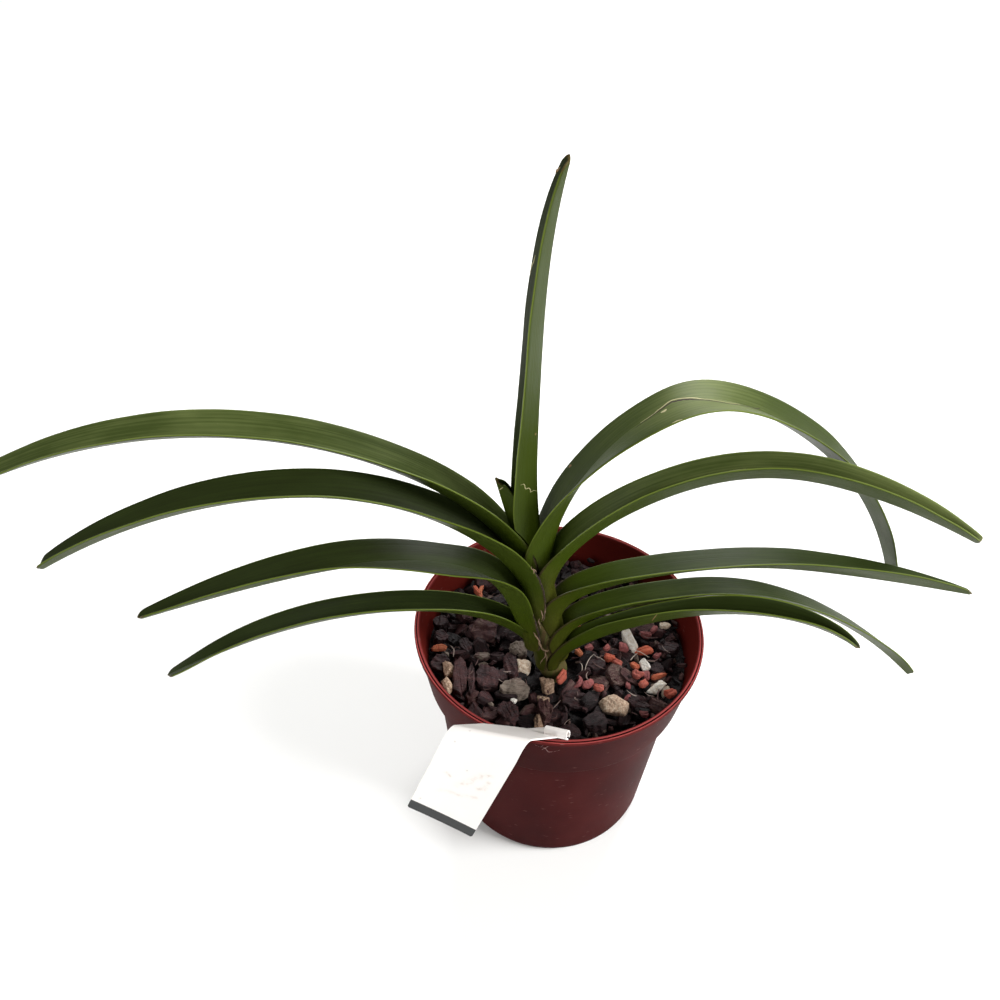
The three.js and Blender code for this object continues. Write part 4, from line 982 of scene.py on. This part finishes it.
# closed lumps: on each direction d the radius is the soft least of plane distances, so that
# r = (sum (max(d.n, 0) / distance)^p)^(-1/p). A groove lowers it along the upper side
def chunkField(centres, sizes, turns, tilts, seed, rows, columns, facets, power, rough, groove=0.0,
               bends=0.0):
    chance = np.random.default_rng(seed)
    count = len(centres)
    polar = np.linspace(0, np.pi, rows + 2)[1:-1]
    around = np.arange(columns) / columns * 2 * np.pi
    ring = np.stack([np.sin(polar)[:, None] * np.cos(around), np.sin(polar)[:, None] * np.sin(around),
                     np.repeat(np.cos(polar)[:, None], columns, axis=1)], -1).reshape(-1, 3)
    directions = np.concatenate([ring, [[0, 0, 1], [0, 0, -1]]])
    axes = np.concatenate([np.eye(3), -np.eye(3)])
    planes = np.concatenate([unit(axes + chance.normal(0, lumpShape["askew"], (count, 6, 3))),
                             unit(chance.normal(size=(count, facets, 3)))], axis=1)
    distance = np.concatenate([chance.uniform(*lumpShape["sides"], (count, 6)),
                               chance.uniform(*lumpShape["cuts"], (count, facets))], axis=1)
    along = np.maximum(0, np.einsum("vk,nfk->nvf", directions, planes)) / distance[:, None, :]
    radius = (along**power).sum(-1) ** (-1 / power)
    spots = directions[None] * 4 + chance.uniform(0, 50, (count, 1, 3))
    radius = radius * (1 + rough * lumps(spots, 2.2, seed + 1) + 0.5 * rough * lumps(spots, 0.9, seed + 2))
    dip = groove * np.exp(-(directions[:, 1] / lumpShape["grooveHalf"])**2) * np.clip(directions[:, 2], 0, 1)
    radius = radius * (1 - dip)
    local = directions[None] * radius[..., None] * (np.asarray(sizes)[:, None, :] / 2)
    halves = np.asarray(sizes)[:, None, 0] / 2
    local[..., 1] += np.broadcast_to(bends, count)[:, None] * ((local[..., 0] / halves)**2 - 0.4)
    grain = local + chance.uniform(0, 400, (count, 1, 3))
    world = placed(local, centres, turns, tilts)
    return world.reshape(-1, 3), ringFaces(count, rows, columns), grain.reshape(-1, 3)


splitShape = {
    "columns": 72, "topRows": 9, "wallRows": 18, "corners": 8, "wander": 0.32, "reach": (0.8, 1.08),
    "edgeInset": 0.93, "layerPitch": 5.2, "layerStep": 0.45, "lumpHeight": 0.35, "ridgeHeight": 0.28,
    "terraceHeight": 0.55,
}


# one large split piece. Its outline is a polygon, r = a b sin(B - A) / (a sin(t - A) + b sin(B - t))
# between corners (A, a) and (B, b); its wall steps in and out with height like split layers, and
# long fibres ridge its top
def splitPiece(row, seed):
    shape = splitShape
    x, y, long, wide, high, turn, lean, _, split = row
    columns, corners, wallRows = shape["columns"], shape["corners"], shape["wallRows"]
    chance = np.random.default_rng(seed)
    wander = chance.uniform(-shape["wander"], shape["wander"], corners)
    bearing = np.sort((np.arange(corners) + wander) / corners * 2 * np.pi)
    reach = chance.uniform(*shape["reach"], corners)
    t = np.arange(columns) / columns * 2 * np.pi
    k = (np.searchsorted(bearing, t, side="right") - 1) % corners
    a, b, low = reach[k], reach[(k + 1) % corners], bearing[k]
    span = (bearing[(k + 1) % corners] - low) % (2 * np.pi)
    past = (t - low) % (2 * np.pi)
    edge = a * b * np.sin(span) / (a * np.sin(past) + b * np.sin(span - past))
    share = np.concatenate([np.linspace(0, 1, shape["topRows"] + 1)[1:-1], np.ones(wallRows), [0.6, 0.3]])
    level = np.concatenate([np.ones(shape["topRows"] - 1), np.linspace(1, -1, wallRows), [-1, -1]])
    share = share * np.where(np.abs(level) > 0.99, shape["edgeInset"], 1)
    local = np.stack([share[:, None] * edge * np.cos(t) * long / 2,
                      share[:, None] * edge * np.sin(t) * wide / 2,
                      np.repeat(level[:, None] * high / 2, columns, axis=1)], -1)
    local = np.concatenate([local.reshape(-1, 3), [[0, 0, high / 2], [0, 0, -high / 2]]])
    grain = local + chance.uniform(0, 400, 3)
    # layers 1.2 mm thick, stepping in and out by 0.45 mm at most
    bedding = grain[:, 2] * shape["layerPitch"] + 1.8 * lumps(grain * [1, 1, 0.4], 7, seed + 1)
    layer = shape["layerStep"] * split * np.tanh(3 * np.sin(bedding))
    outward = unit(local * [1, 1, 0.05] + 1e-6)
    local = local + outward * (layer + shape["lumpHeight"] * lumps(grain, 2.6, seed + 2))[:, None]
    # ridges run along the longer side
    across = grain * ([0.25, 1.3, 1] if long > wide else [1.3, 0.25, 1])
    ridge = lumps(across, 2.2, seed + 3) + 0.6 * lumps(across, 1.0, seed + 4)
    terrace = np.tanh(2.5 * lumps(grain * [1, 1, 0], 6.5, seed + 5))
    upper = np.clip(local[:, 2] / (high / 2), 0, 1)
    local[:, 2] += upper * (shape["ridgeHeight"] * ridge + shape["terraceHeight"] * split * terrace)
    tilts = (lean * degree * chance.choice([-0.6, 1]), lean * degree * chance.choice([-1, 0.8]) * 0.6)
    centre = (x, y, mediumShape["top"] + mediumShape["chunkLift"])
    world = placed(local[None], [centre], [turn * degree], [tilts])
    return world[0], ringFaces(1, len(share), columns), grain


flakeShape = {"wander": 0.3, "reach": (0.68, 1.0), "edgeInset": 0.16, "ragged": 0.07, "askew": 0.05,
              "slope": 0.35, "uneven": 0.06, "pole": 0.97}


# closed split flakes: a ragged polygon, (cos t, sin t) * reach(t), drawn in at its upper and lower
# edges and stepped in and out from ring to ring like split layers
def flakeField(centres, sizes, turns, tilts, seed, corners=7, rings=5):
    shape = flakeShape
    chance = np.random.default_rng(seed)
    count = len(centres)
    wander = chance.uniform(-shape["wander"], shape["wander"], (count, corners))
    bearing = (np.arange(corners) + wander) / corners * 2 * np.pi
    reach = chance.uniform(*shape["reach"], (count, corners))
    level = np.linspace(1, -1, rings)
    inset = 1 - shape["edgeInset"] * np.abs(level) ** 5
    inset = inset + chance.uniform(-shape["ragged"], shape["ragged"], (count, rings))
    outline = np.stack([np.cos(bearing) * reach, np.sin(bearing) * reach], -1)
    shift = chance.normal(0, shape["askew"], (count, rings, corners, 2))
    flat = outline[:, None] * inset[:, :, None, None] + shift * 0.6
    slope = chance.uniform(-shape["slope"], shape["slope"], (count, 1, 2))
    lean = (flat * slope[:, :, None, :]).sum(-1)
    high = level[None, :, None] + lean + chance.normal(0, shape["uneven"], lean.shape)
    ring = np.concatenate([flat, high[..., None]], -1).reshape(count, -1, 3)
    poles = np.zeros((count, 2, 3))
    poles[:, :, 2] = [shape["pole"], -shape["pole"]]
    local = np.concatenate([ring, poles], 1) * (np.asarray(sizes)[:, None, :] / 2)
    grain = local + chance.uniform(0, 400, (count, 1, 3))
    world = placed(local, centres, turns, tilts)
    return world.reshape(-1, 3), ringFaces(count, rings, corners), grain.reshape(-1, 3)


def perChunk(values, points):
    return np.repeat(values, len(points) // len(values))


goldenAngle = 2.399963  # radians, which spreads places evenly over a disc


# places spread evenly over the pot's mouth, kept clear of the stem and of given spots
def scatter(count, chance, spread, clearOf=(), margin=0.0):
    spot = np.arange(count)
    radius = spread * np.sqrt((spot + 0.5) / count)
    turn = spot * goldenAngle
    xy = np.stack([radius * np.cos(turn), radius * np.sin(turn)], -1) + chance.uniform(-2, 2, (count, 2))
    keep = np.hypot(*(xy - stemFoot[:2]).T) > mediumShape["stemClear"]
    keep &= np.hypot(*xy.T) < spread
    for x, y in clearOf:
        keep &= np.hypot(xy[:, 0] - x, xy[:, 1] - y) > margin
    return xy[keep]


# Split conifer bark, damp: dark purplish brown, fibrous along its length and layered across its
# thickness, some faces redder and some weathered grey. Fibres are 0.6 mm apart and layers 1 mm
def dampBark():
    material, tree, shader = newMaterial("dampPineBark", {"IOR": 1.45, "Specular IOR Level": 0.25})
    tone = addNode(tree, "ShaderNodeAttribute", attribute_name="tone").outputs["Fac"]
    grain = addNode(tree, "ShaderNodeAttribute", attribute_name="grain").outputs["Vector"]
    lengthwise = addNode(tree, "ShaderNodeMapping", {"Vector": grain, "Scale": (0.3, 1.5, 2.2)})
    flatwise = addNode(tree, "ShaderNodeMapping", {"Vector": grain, "Scale": (0.09, 0.09, 1.1)})
    mottled = addNode(tree, "ShaderNodeTexNoise", {"Vector": grain, "Scale": 0.45, "Detail": 6.0,
                                                   "Roughness": 0.7})
    fibre = addNode(tree, "ShaderNodeTexNoise", {"Vector": lengthwise, "Scale": 1.0, "Detail": 4.0,
                                                 "Roughness": 0.65})
    layer = addNode(tree, "ShaderNodeTexNoise", {"Vector": flatwise, "Scale": 1.0, "Detail": 3.0,
                                                 "Distortion": 0.4})
    both = addNode(tree, "ShaderNodeMath", {0: mottled, 1: fibre}, operation="ADD")
    three = addNode(tree, "ShaderNodeMath", {0: both, 1: layer}, operation="ADD")
    shift = addNode(tree, "ShaderNodeMath", {0: three, 1: 0.62, 2: tone}, operation="MULTIPLY_ADD")
    spread = addNode(tree, "ShaderNodeMath", {0: shift, 1: -0.93}, operation="ADD")
    ramp = addNode(tree, "ShaderNodeValToRGB", {"Fac": spread}, stops=mediumShape["barkStops"])
    wet = addNode(tree, "ShaderNodeMapRange", {"Value": mottled, "From Min": 0.3, "From Max": 0.7,
                                               "To Min": 0.42, "To Max": 0.85})
    relief = addNode(tree, "ShaderNodeMath", {0: fibre, 1: layer}, operation="ADD")
    bump = addNode(tree, "ShaderNodeBump", {"Height": relief, "Strength": 0.9, "Distance": 0.0009})
    feed(tree, shader, {"Base Color": ramp, "Roughness": wet, "Normal": bump})
    return material


# A plain mineral or resin-bound grain: mottled round a tone of its own, dull, finely pitted. Grit is
# 0.4 mm, drawn at 1 mm so that it shows
def grainMaterial(name, stops, roughness, contrast, pitted):
    material, tree, shader = newMaterial(name, {"Roughness": roughness, "IOR": 1.5,
                                                "Specular IOR Level": 0.25})
    tone = addNode(tree, "ShaderNodeAttribute", attribute_name="tone").outputs["Fac"]
    grain = addNode(tree, "ShaderNodeAttribute", attribute_name="grain").outputs["Vector"]
    mottled = addNode(tree, "ShaderNodeTexNoise", {"Vector": grain, "Scale": 0.9, "Detail": 6.0,
                                                   "Roughness": 0.72})
    centred = addNode(tree, "ShaderNodeMath", {0: mottled, 1: -0.5}, operation="ADD")
    shift = addNode(tree, "ShaderNodeMath", {0: centred, 1: contrast, 2: tone}, operation="MULTIPLY_ADD")
    ramp = addNode(tree, "ShaderNodeValToRGB", {"Fac": shift}, stops=stops)
    bump = addNode(tree, "ShaderNodeBump", {"Height": mottled, "Strength": pitted, "Distance": 0.0008})
    feed(tree, shader, {"Base Color": ramp, "Normal": bump})
    return material


def buildMedium():
    shape = mediumShape
    chance = np.random.default_rng(shape["seed"])
    bark = dampBark()
    bed = roundedProfile(shape["bedCorners"])
    rows = np.linspace(shape["bedCorners"][-2][0], 0.5, 56)[1:]
    crown = np.column_stack([rows, np.full(len(rows), shape["bedTop"])])
    points, faces = turned(np.concatenate([bed[:-1], crown, bed[-1:]]), shape["bedSides"])
    soil = sum(height * lumps(points, length, seed) for height, length, seed in shape["soil"])
    onTop = (points[:, 2] > shape["bedTop"] - 0.1) * (np.hypot(*points.T[:2]) < shape["soilWithin"])
    points[:, 2] += soil * onTop
    size, length, seed = shape["soilTone"]
    tones = shape["soilMean"] + size * lumps(points, length, seed)
    soilBed = addObject("medium_bed", points, faces, {"tone": tones, "grain": points})
    finishPiece(soilBed, bark, ["medium"])
    noted = [(x, y) for x, y, *_ in shape["stones"] + shape["chunks"]]
    # middle-sized split pieces, 7 to 16 mm, in two uneven layers
    xy = scatter(shape["barkCount"], chance, shape["spread"] - shape["barkInset"], noted, shape["barkGap"])
    count = len(xy)
    sizes = np.stack([chance.uniform(*span, count) for span in shape["barkSizes"]], -1)
    centres = np.column_stack([xy, shape["top"] + chance.uniform(*shape["barkLift"], count)])
    most = shape["barkTiltMost"]
    tilts = np.clip(chance.normal(0, shape["barkTilt"], (count, 2)), -most, most)
    fit = np.minimum(1, (shape["mouth"] - np.hypot(*xy.T)) / (sizes[:, 0] / 2))
    sizes[:, :2] *= np.clip(fit, shape["barkLeastFit"], 1)[:, None]
    points, faces, grain = flakeField(centres, sizes, chance.uniform(0, 6.28, count), tilts, 21)
    tones = perChunk(np.clip(chance.normal(*shape["barkTones"], count), 0.05, 1.0), points)
    pieces = addObject("bark_pieces", points, faces, {"tone": tones, "grain": grain})
    finishPiece(pieces, bark, sharpAngle=24)
    # splinters and crumbs, 2.5 to 7 mm long, denser on the right
    xy = scatter(shape["crumbCount"], chance, shape["spread"] - shape["crumbInset"])
    xy = xy[(xy[:, 0] > shape["leftOf"]) | (chance.uniform(size=len(xy)) < shape["crumbsOnLeft"])]
    count = len(xy)
    sizes = np.stack([chance.uniform(*span, count) for span in shape["crumbSizes"]], -1)
    centres = np.column_stack([xy, shape["top"] + chance.uniform(*shape["crumbLift"], count)])
    turns = chance.uniform(0, 6.28, count)
    tilts = chance.uniform(-shape["crumbTilt"], shape["crumbTilt"], (count, 2))
    points, faces, grain = flakeField(centres, sizes, turns, tilts, 22, corners=5, rings=3)
    tones = perChunk(np.clip(chance.normal(*shape["crumbTones"], count), 0.0, 1.15), points)
    crumbs = addObject("bark_crumbs", points, faces, {"tone": tones, "grain": grain})
    finishPiece(crumbs, bark, sharpAngle=24)
    # the large pieces that lie on top, with their split layers
    made = [splitPiece(row, 70 + 9 * k) for k, row in enumerate(shape["chunks"])]
    tones = np.repeat([row[7] for row in shape["chunks"]], len(made[0][0]))
    chunks = addObject("bark_chunks", *fuse([piece[:2] for piece in made]),
                       {"tone": tones, "grain": np.concatenate([piece[2] for piece in made])})
    finishPiece(chunks, bark, sharpAngle=35)
    # river gravel, beige, and whiter split chips of it
    table = np.array(shape["stones"], float)
    centres = np.column_stack([table[:, :2], np.full(len(table), shape["top"] + shape["stoneLift"])])
    tilts = np.column_stack([table[:, 6] * degree * 0.5, -table[:, 6] * degree])
    points, faces, grain = chunkField(centres, table[:, 2:5], table[:, 5] * degree, tilts, 24, rows=30,
                                      columns=44, facets=9, power=14, rough=0.06)
    tones = perChunk(table[:, 7], points)
    stones = addObject("gravel", points, faces, {"tone": tones, "grain": grain})
    gravel = grainMaterial("riverGravel", shape["stoneStops"], 0.8, 1.1, 1.0)
    finishPiece(stones, gravel, sharpAngle=50)
    # coated feed pellets: dusky pink to orange, 3 to 8 mm, grooved and crumbly
    table = np.array(shape["pellets"], float)
    sizes = np.column_stack([table[:, 2:4], table[:, 3] * 0.95])
    centres = np.column_stack([table[:, :2], np.full(len(table), shape["top"] + shape["pelletLift"])])
    tilts = chance.uniform(-0.2, 0.2, (len(table), 2))
    points, faces, grain = chunkField(centres, sizes, table[:, 4] * degree, tilts, 25, rows=20, columns=30,
                                      facets=3, power=4, rough=0.1, groove=0.32, bends=table[:, 5])
    tones = perChunk(table[:, 6], points)
    pellets = addObject("feed_pellets", points, faces, {"tone": tones, "grain": grain})
    feedPellet = grainMaterial("feedPellet", shape["pelletStops"], 0.75, 0.7, 0.9)
    finishPiece(pellets, feedPellet, sharpAngle=60)
    buildThreads(chance)


# Dry root threads and bark fibres: thin bent strands lying on the medium
threadShape = {
    "roots": [[(11.6, -19.4), (12.2, -16.5), (13.4, -13.7), (15.0, -11.2), (16.3, -10.2)],
              [(16.3, -10.2), (17.4, -11.6), (18.8, -12.4), (20.9, -14.1)],
              [(9.7, -14.9), (10.4, -17.2), (10.1, -19.8)], [(33, -7), (36.5, -8.2), (41, -11)],
              [(29, -30), (31.5, -32.4), (33, -33)], [(36, -9), (33.4, -11.4), (32.4, -13.2)]],
    "rootRadius": 0.16, "rootHeight": 103.0, "fibreCount": 60, "fibreWithin": 56, "fibreStemClear": 12,
    "pale": "#a5978b", "dun": "#4b3430",
}


def buildThreads(chance):
    shape = threadShape
    strands, tones = [], []
    for spots in shape["roots"]:
        rise = shape["rootHeight"] + chance.uniform(-0.4, 0.6, len(spots))
        strands.append(strand(np.column_stack([spots, rise]), shape["rootRadius"]))
        tones.append(1.0)
    for _ in range(shape["fibreCount"]):
        x, y = chance.uniform(-48, 52), chance.uniform(-52, 48)
        fromStem = math.hypot(x - stemFoot[0], y - stemFoot[1])
        if math.hypot(x, y) < shape["fibreWithin"] and fromStem > shape["fibreStemClear"]:
            turn, long = chance.uniform(0, 6.28), chance.uniform(2.5, 7)
            bend = chance.uniform(-1.2, 1.2)
            high = shape["rootHeight"] + chance.uniform(-1.5, 0.6)
            ahead = np.array([math.cos(turn), math.sin(turn)])
            aside = np.array([-math.sin(turn), math.cos(turn)])
            spots = [(x, y) + ahead * s * long / 2 + aside * bend * (1 - s * s) for s in (-1, 0, 1)]
            rise = [high + 0.5 * k for k in range(3)]
            strands.append(strand(np.column_stack([spots, rise]), chance.uniform(0.12, 0.3)))
            tones.append(chance.uniform(0, 0.75))
    material = dryFibre("dryRootFibre", 0.8, [(0.3, shape["dun"]), (1.0, shape["pale"])])
    finishPiece(addStrips("root_threads", strands, tones), material)


buildMedium()
print("stage: medium")

# Stake label: the solid's sheet, fitted once more to its outline, with a softer bend. Along it in
# millimetres from the rim, across it from its middle
labelShape = {
    "thick": 0.55, "width": 27.3, "bearing": -101.2, "skew": 19.5, "side": -3.2,
    "climb": 48.6, "drop": -76.4, "rimReach": 61, "rimHeight": 114.6, "bendRadius": 5.5, "bendStart": 28,
    "headEnd": 80.2, "shoulder": 5.6, "shoulderEase": 8,
    "stakeEnd": -38, "stakeWidth": 10, "stakeShift": 3.5, "shoulderLength": 9, "pointLength": 6,
    "pointHalf": 0.8, "bendMiddle": 3, "bendHalf": 6, "tail": 22, "cornerCut": 0.6, "columns": 73,
    "rowCounts": (4, 10, 8, 8, 10, 60, 60, 44, 4), "cup": 0.25, "cupOver": 30, "curlSteps": 40,
    "curlRadius": 1.9, "curlAlong": 0.5, "curlFrom": -110, "curlSweep": 320, "curlEdges": (8.2, 17.8),
    "band": 4.4, "white": "#efe9e5", "bandShade": "#111415", "stain": "#b3a08a", "speck": "#6f665f",
    # soft water marks: (strength, softness in mm, [(along, beside)])
    "stains": [(0.42, 1.1, [(58.9, -1), (55.3, 2.4), (51.8, 3.9), (49.2, 5.8)]),
               (0.75, 0.6, [(49.2, 5.8), (48, 8.6)]), (0.5, 0.8, [(51.5, 8.7), (55.5, 8.4), (56.4, 6.4)]),
               (0.34, 0.7, [(65.4, -6.3), (64, -2.6), (63.3, 2), (60.8, 7.6)]),
               (0.7, 0.6, [(55.8, -7), (56.6, -5)])],
    "speckRadius": 0.3, "speckDepth": 0.5,
    "specks": [(35.2, -6.9), (26, -11.1), (41.5, -9.3), (73.3, -10.7), (50.5, -0.4)],
}


# (distance out, height, slope) where the sheet climbs, turns on the bend radius and then drops straight
def labelProfile(run):
    shape = labelShape
    climb, drop = shape["climb"] * degree, shape["drop"] * degree
    straight = np.minimum(run, shape["bendStart"])
    slope = climb - np.clip((run - shape["bendStart"]) / shape["bendRadius"], 0, climb - drop)
    rest = np.maximum(0, run - shape["bendStart"] - shape["bendRadius"] * (climb - drop))
    out = (shape["rimReach"] + straight * math.cos(climb)
           + shape["bendRadius"] * (math.sin(climb) - np.sin(slope)) + rest * np.cos(slope))
    high = (shape["rimHeight"] + straight * math.sin(climb)
            + shape["bendRadius"] * (np.cos(slope) - math.cos(climb)) + rest * np.sin(slope))
    return out, high, slope


# points of the sheet: its skewed lines carried over the profile, and moved by lift along its normal
def labelPoints(along, sideways, lift):
    shape = labelShape
    skew, bearing = shape["skew"] * degree, shape["bearing"] * degree
    outward = np.array([math.cos(bearing), math.sin(bearing), 0])
    level = np.array([-math.sin(bearing), math.cos(bearing), 0])
    run = along * math.cos(skew) + sideways * math.sin(skew)
    shift = shape["side"] + sideways * math.cos(skew) - along * math.sin(skew)
    out, high, slope = labelProfile(run)
    flat = outward * (out - lift * np.sin(slope))[..., None] + level * shift[..., None]
    return flat + np.array([0, 0, 1.0]) * (high + lift * np.cos(slope))[..., None]


# Glossy white styrene strip, thin and slightly cupped, stained by water, with a dark printed end band
def labelPlastic():
    shape = labelShape
    material, tree, shader = newMaterial("whiteStyrene", {"Roughness": 0.38, "IOR": 1.55})
    along, beside, line, dots = (addNode(tree, "ShaderNodeAttribute", attribute_name=key).outputs["Fac"]
                                 for key in ("along", "beside", "stain", "speck"))
    # dried water lines, broken up by the noise
    flow = addNode(tree, "ShaderNodeCombineXYZ", {"X": along, "Y": beside})
    tide = addNode(tree, "ShaderNodeTexNoise", {"Vector": flow, "Scale": 0.5, "Detail": 4.0})
    worn = addNode(tree, "ShaderNodeMapRange", {"Value": tide, "From Min": 0.44, "From Max": 0.62,
                                                "To Min": 0.15, "To Max": 0.8})
    stains = addNode(tree, "ShaderNodeMath", {0: line, 1: worn}, operation="MULTIPLY")
    band = addNode(tree, "ShaderNodeMath", {0: along, 1: shape["headEnd"] - shape["band"]},
                   operation="GREATER_THAN")
    colour = colourOf(shape["white"])
    for mask, key in ((stains, "stain"), (dots, "speck"), (band, "bandShade")):
        colour = addNode(tree, "ShaderNodeMix", {mixFactor: mask, mixFirst: colour,
                                                 mixSecond: colourOf(shape[key])}, data_type="RGBA")
    bump = addNode(tree, "ShaderNodeBump", {"Height": tide, "Strength": 0.12, "Distance": 0.0004})
    feed(tree, shader, {"Base Color": colour, "Normal": bump})
    return material


# distance of places from a broken line through given stops, all in millimetres
def gapTo(spots, stops):
    near = np.full(len(spots), np.inf)
    for start, end in zip(stops[:-1], stops[1:]):
        start, way = np.array(start), np.array(end) - np.array(start)
        u = np.clip((spots - start) @ way / (way @ way), 0, 1)
        near = np.minimum(near, np.hypot(*(spots - start - u[:, None] * way).T))
    return near


# the sheet between its two edges, rows by columns, with an upper and a lower face and a rim between them
def labelSheet():
    shape = labelShape
    half, stake = shape["width"] / 2, shape["stakeWidth"] / 2
    tanSkew = math.tan(shape["skew"] * degree)
    bend = (shape["bendStart"] + shape["bendMiddle"]) / math.cos(shape["skew"] * degree)
    # along, middle, half width, askew
    stops = np.array([
        (shape["stakeEnd"], shape["stakeShift"], shape["pointHalf"], 0),
        (shape["stakeEnd"] + shape["pointLength"], shape["stakeShift"], stake, 0),
        (shape["shoulder"] - shape["shoulderLength"], shape["stakeShift"], stake, 0),
        (shape["shoulder"], 0, half, 1.4), (shape["shoulder"] + shape["shoulderEase"], 0, half, 1),
        (bend - shape["bendHalf"], 0, half, 1), (bend + shape["bendHalf"], 0, half, 1),
        (shape["headEnd"] - shape["tail"], 0, half, 0.4),
        (shape["headEnd"] - shape["cornerCut"], 0, half, 0),
        (shape["headEnd"], 0, half - shape["cornerCut"], 0)])
    at = [np.linspace(0, 1, n, endpoint=False) + k for k, n in enumerate(shape["rowCounts"])]
    at = np.concatenate(at + [[len(shape["rowCounts"])]])
    along, middle, reach, askew = (np.interp(at, np.arange(len(stops)), column)[:, None]
                                   for column in stops.T)
    rows, columns = len(at), shape["columns"]
    u = np.linspace(0, 1, columns)[None]
    sideways = middle - reach + 2 * reach * u
    slid = along - askew * sideways * tanSkew
    cup = shape["cup"] * (2 * u - 1)**2 * np.clip((along - shape["bendStart"]) / shape["cupOver"], 0, 1)
    layers = [labelPoints(slid, sideways, cup + s * shape["thick"] / 2) for s in (-1, 1)]
    points = np.concatenate([layer.reshape(-1, 3) for layer in layers])
    size = rows * columns
    grid = gridFaces(rows, columns)
    number = np.arange(size).reshape(rows, columns)
    rim = np.concatenate([number[0], number[1:, -1], number[-1, -2::-1], number[-2:0:-1, 0]])
    edge = np.stack([rim, np.roll(rim, -1), np.roll(rim, -1) + size, rim + size], -1)
    spots = np.column_stack([slid.ravel(), sideways.ravel()])
    marks = np.max([strength * np.exp(-(gapTo(spots, line) / soft)**2)
                    for strength, soft, line in shape["stains"]], axis=0)
    dots = np.min([np.hypot(*(spots - dot).T) for dot in shape["specks"]], axis=0)
    dots = shape["speckDepth"] * np.exp(-(dots / shape["speckRadius"])**2)
    upper = np.repeat([0.0, 1.0], size)
    attributes = {"along": np.tile(spots[:, 0], 2), "beside": np.tile(spots[:, 1], 2),
                  "stain": np.tile(marks, 2) * upper, "speck": np.tile(dots, 2) * upper}
    return points, [grid[:, ::-1], grid + size, edge], attributes


# a strip rolled into most of a circle: r cos t along the label and r sin t above it
def labelCurl():
    shape = labelShape
    steps, outer = shape["curlSteps"], shape["curlRadius"]
    inner = outer - shape["thick"]
    turn = np.linspace(shape["curlFrom"], shape["curlFrom"] + shape["curlSweep"], steps)[:, None] * degree
    radii = np.array([[inner, inner, outer, outer]])
    left, right = shape["curlEdges"]
    edges = np.array([[left, right, right, left]]) + 0 * turn
    points = labelPoints(shape["curlAlong"] + radii * np.cos(turn), edges,
                         outer - shape["thick"] / 2 + radii * np.sin(turn)).reshape(-1, 3)
    ends = np.array([np.arange(4)[::-1], np.arange(4) + (steps - 1) * 4])
    return points, [gridFaces(steps, 4, wrap=True), ends], {"along": 0.0, "beside": 0.0, "stain": 0.0}


def buildLabel():
    material = labelPlastic()
    finishPiece(addObject("label_sheet", *labelSheet()), material, ["label"], sharpAngle=50)
    finishPiece(addObject("label_curl", *labelCurl()), material, sharpAngle=50)


buildLabel()
print("stage: label")

# Camera: where the photograph was taken from, looking 39.8 degrees down, held 0.93 degrees askew
cameraShape = {"place": (-27.27, -263.75, 403.77), "pitch": 39.77, "askew": -0.934, "lens": 30.94,
               "sensor": 36}


def placeCamera():
    shape = cameraShape
    pitch, askew = shape["pitch"] * degree, shape["askew"] * degree
    forward = Vector((0, math.cos(pitch), -math.sin(pitch)))
    plainUp = Vector((0, math.sin(pitch), math.cos(pitch)))
    right = Vector((1, 0, 0)) * math.cos(askew) - plainUp * math.sin(askew)
    up = Vector((1, 0, 0)) * math.sin(askew) + plainUp * math.cos(askew)
    camera = bpy.data.objects.new("camera", bpy.data.cameras.new("camera"))
    camera.data.lens = shape["lens"]
    camera.data.sensor_width = shape["sensor"]
    turn = Matrix((right, up, -forward)).transposed().to_4x4()
    camera.matrix_world = Matrix.Translation(Vector(shape["place"]) * mm) @ turn
    camera.data.clip_start = 0.01
    scene.collection.objects.link(camera)
    scene.camera = camera


floorHalf = 3000.0


# Floor: matt white board, far wider than the view
def layFloor():
    corners = np.array([[-1, -1, 0], [1, -1, 0], [1, 1, 0], [-1, 1, 0]]) * floorHalf
    floor = addObject("floor", corners, [np.array([[0, 1, 2, 3]])])
    material, *_ = newMaterial("paleBoard", {"Roughness": 0.9, "Base Color": colourOf("#f4f4f2")})
    floor.data.materials.append(material)


# [name, place, aim, size, watts]: a broad high key from the right and two weak fills
lightShape = [("key", (2300, -700, 1900), (0, 0, 120), 1300, 120.0),
              ("fill", (-1500, -2000, 1300), (0, 0, 120), 1500, 30.0),
              ("back", (500, 2100, 1900), (0, 0, 150), 1700, 90.0)]


skyStrength = 0.25


def placeLights():
    world = bpy.data.worlds.new("softSky")
    world.use_nodes = True
    scene.world = world
    backdrop = world.node_tree.nodes["Background"]
    backdrop.inputs["Color"].default_value = (1, 1, 1, 1)
    backdrop.inputs["Strength"].default_value = skyStrength
    for name, place, aim, size, watts in lightShape:
        lamp = bpy.data.lights.new(name, "AREA")
        lamp.size = size * mm
        lamp.energy = watts
        light = bpy.data.objects.new(name, lamp)
        light.location = Vector(place) * mm
        light.rotation_euler = (Vector(aim) - Vector(place)).to_track_quat("-Z", "Y").to_euler()
        scene.collection.objects.link(light)


placeCamera()
layFloor()
placeLights()
print("stage: camera, floor and lights")
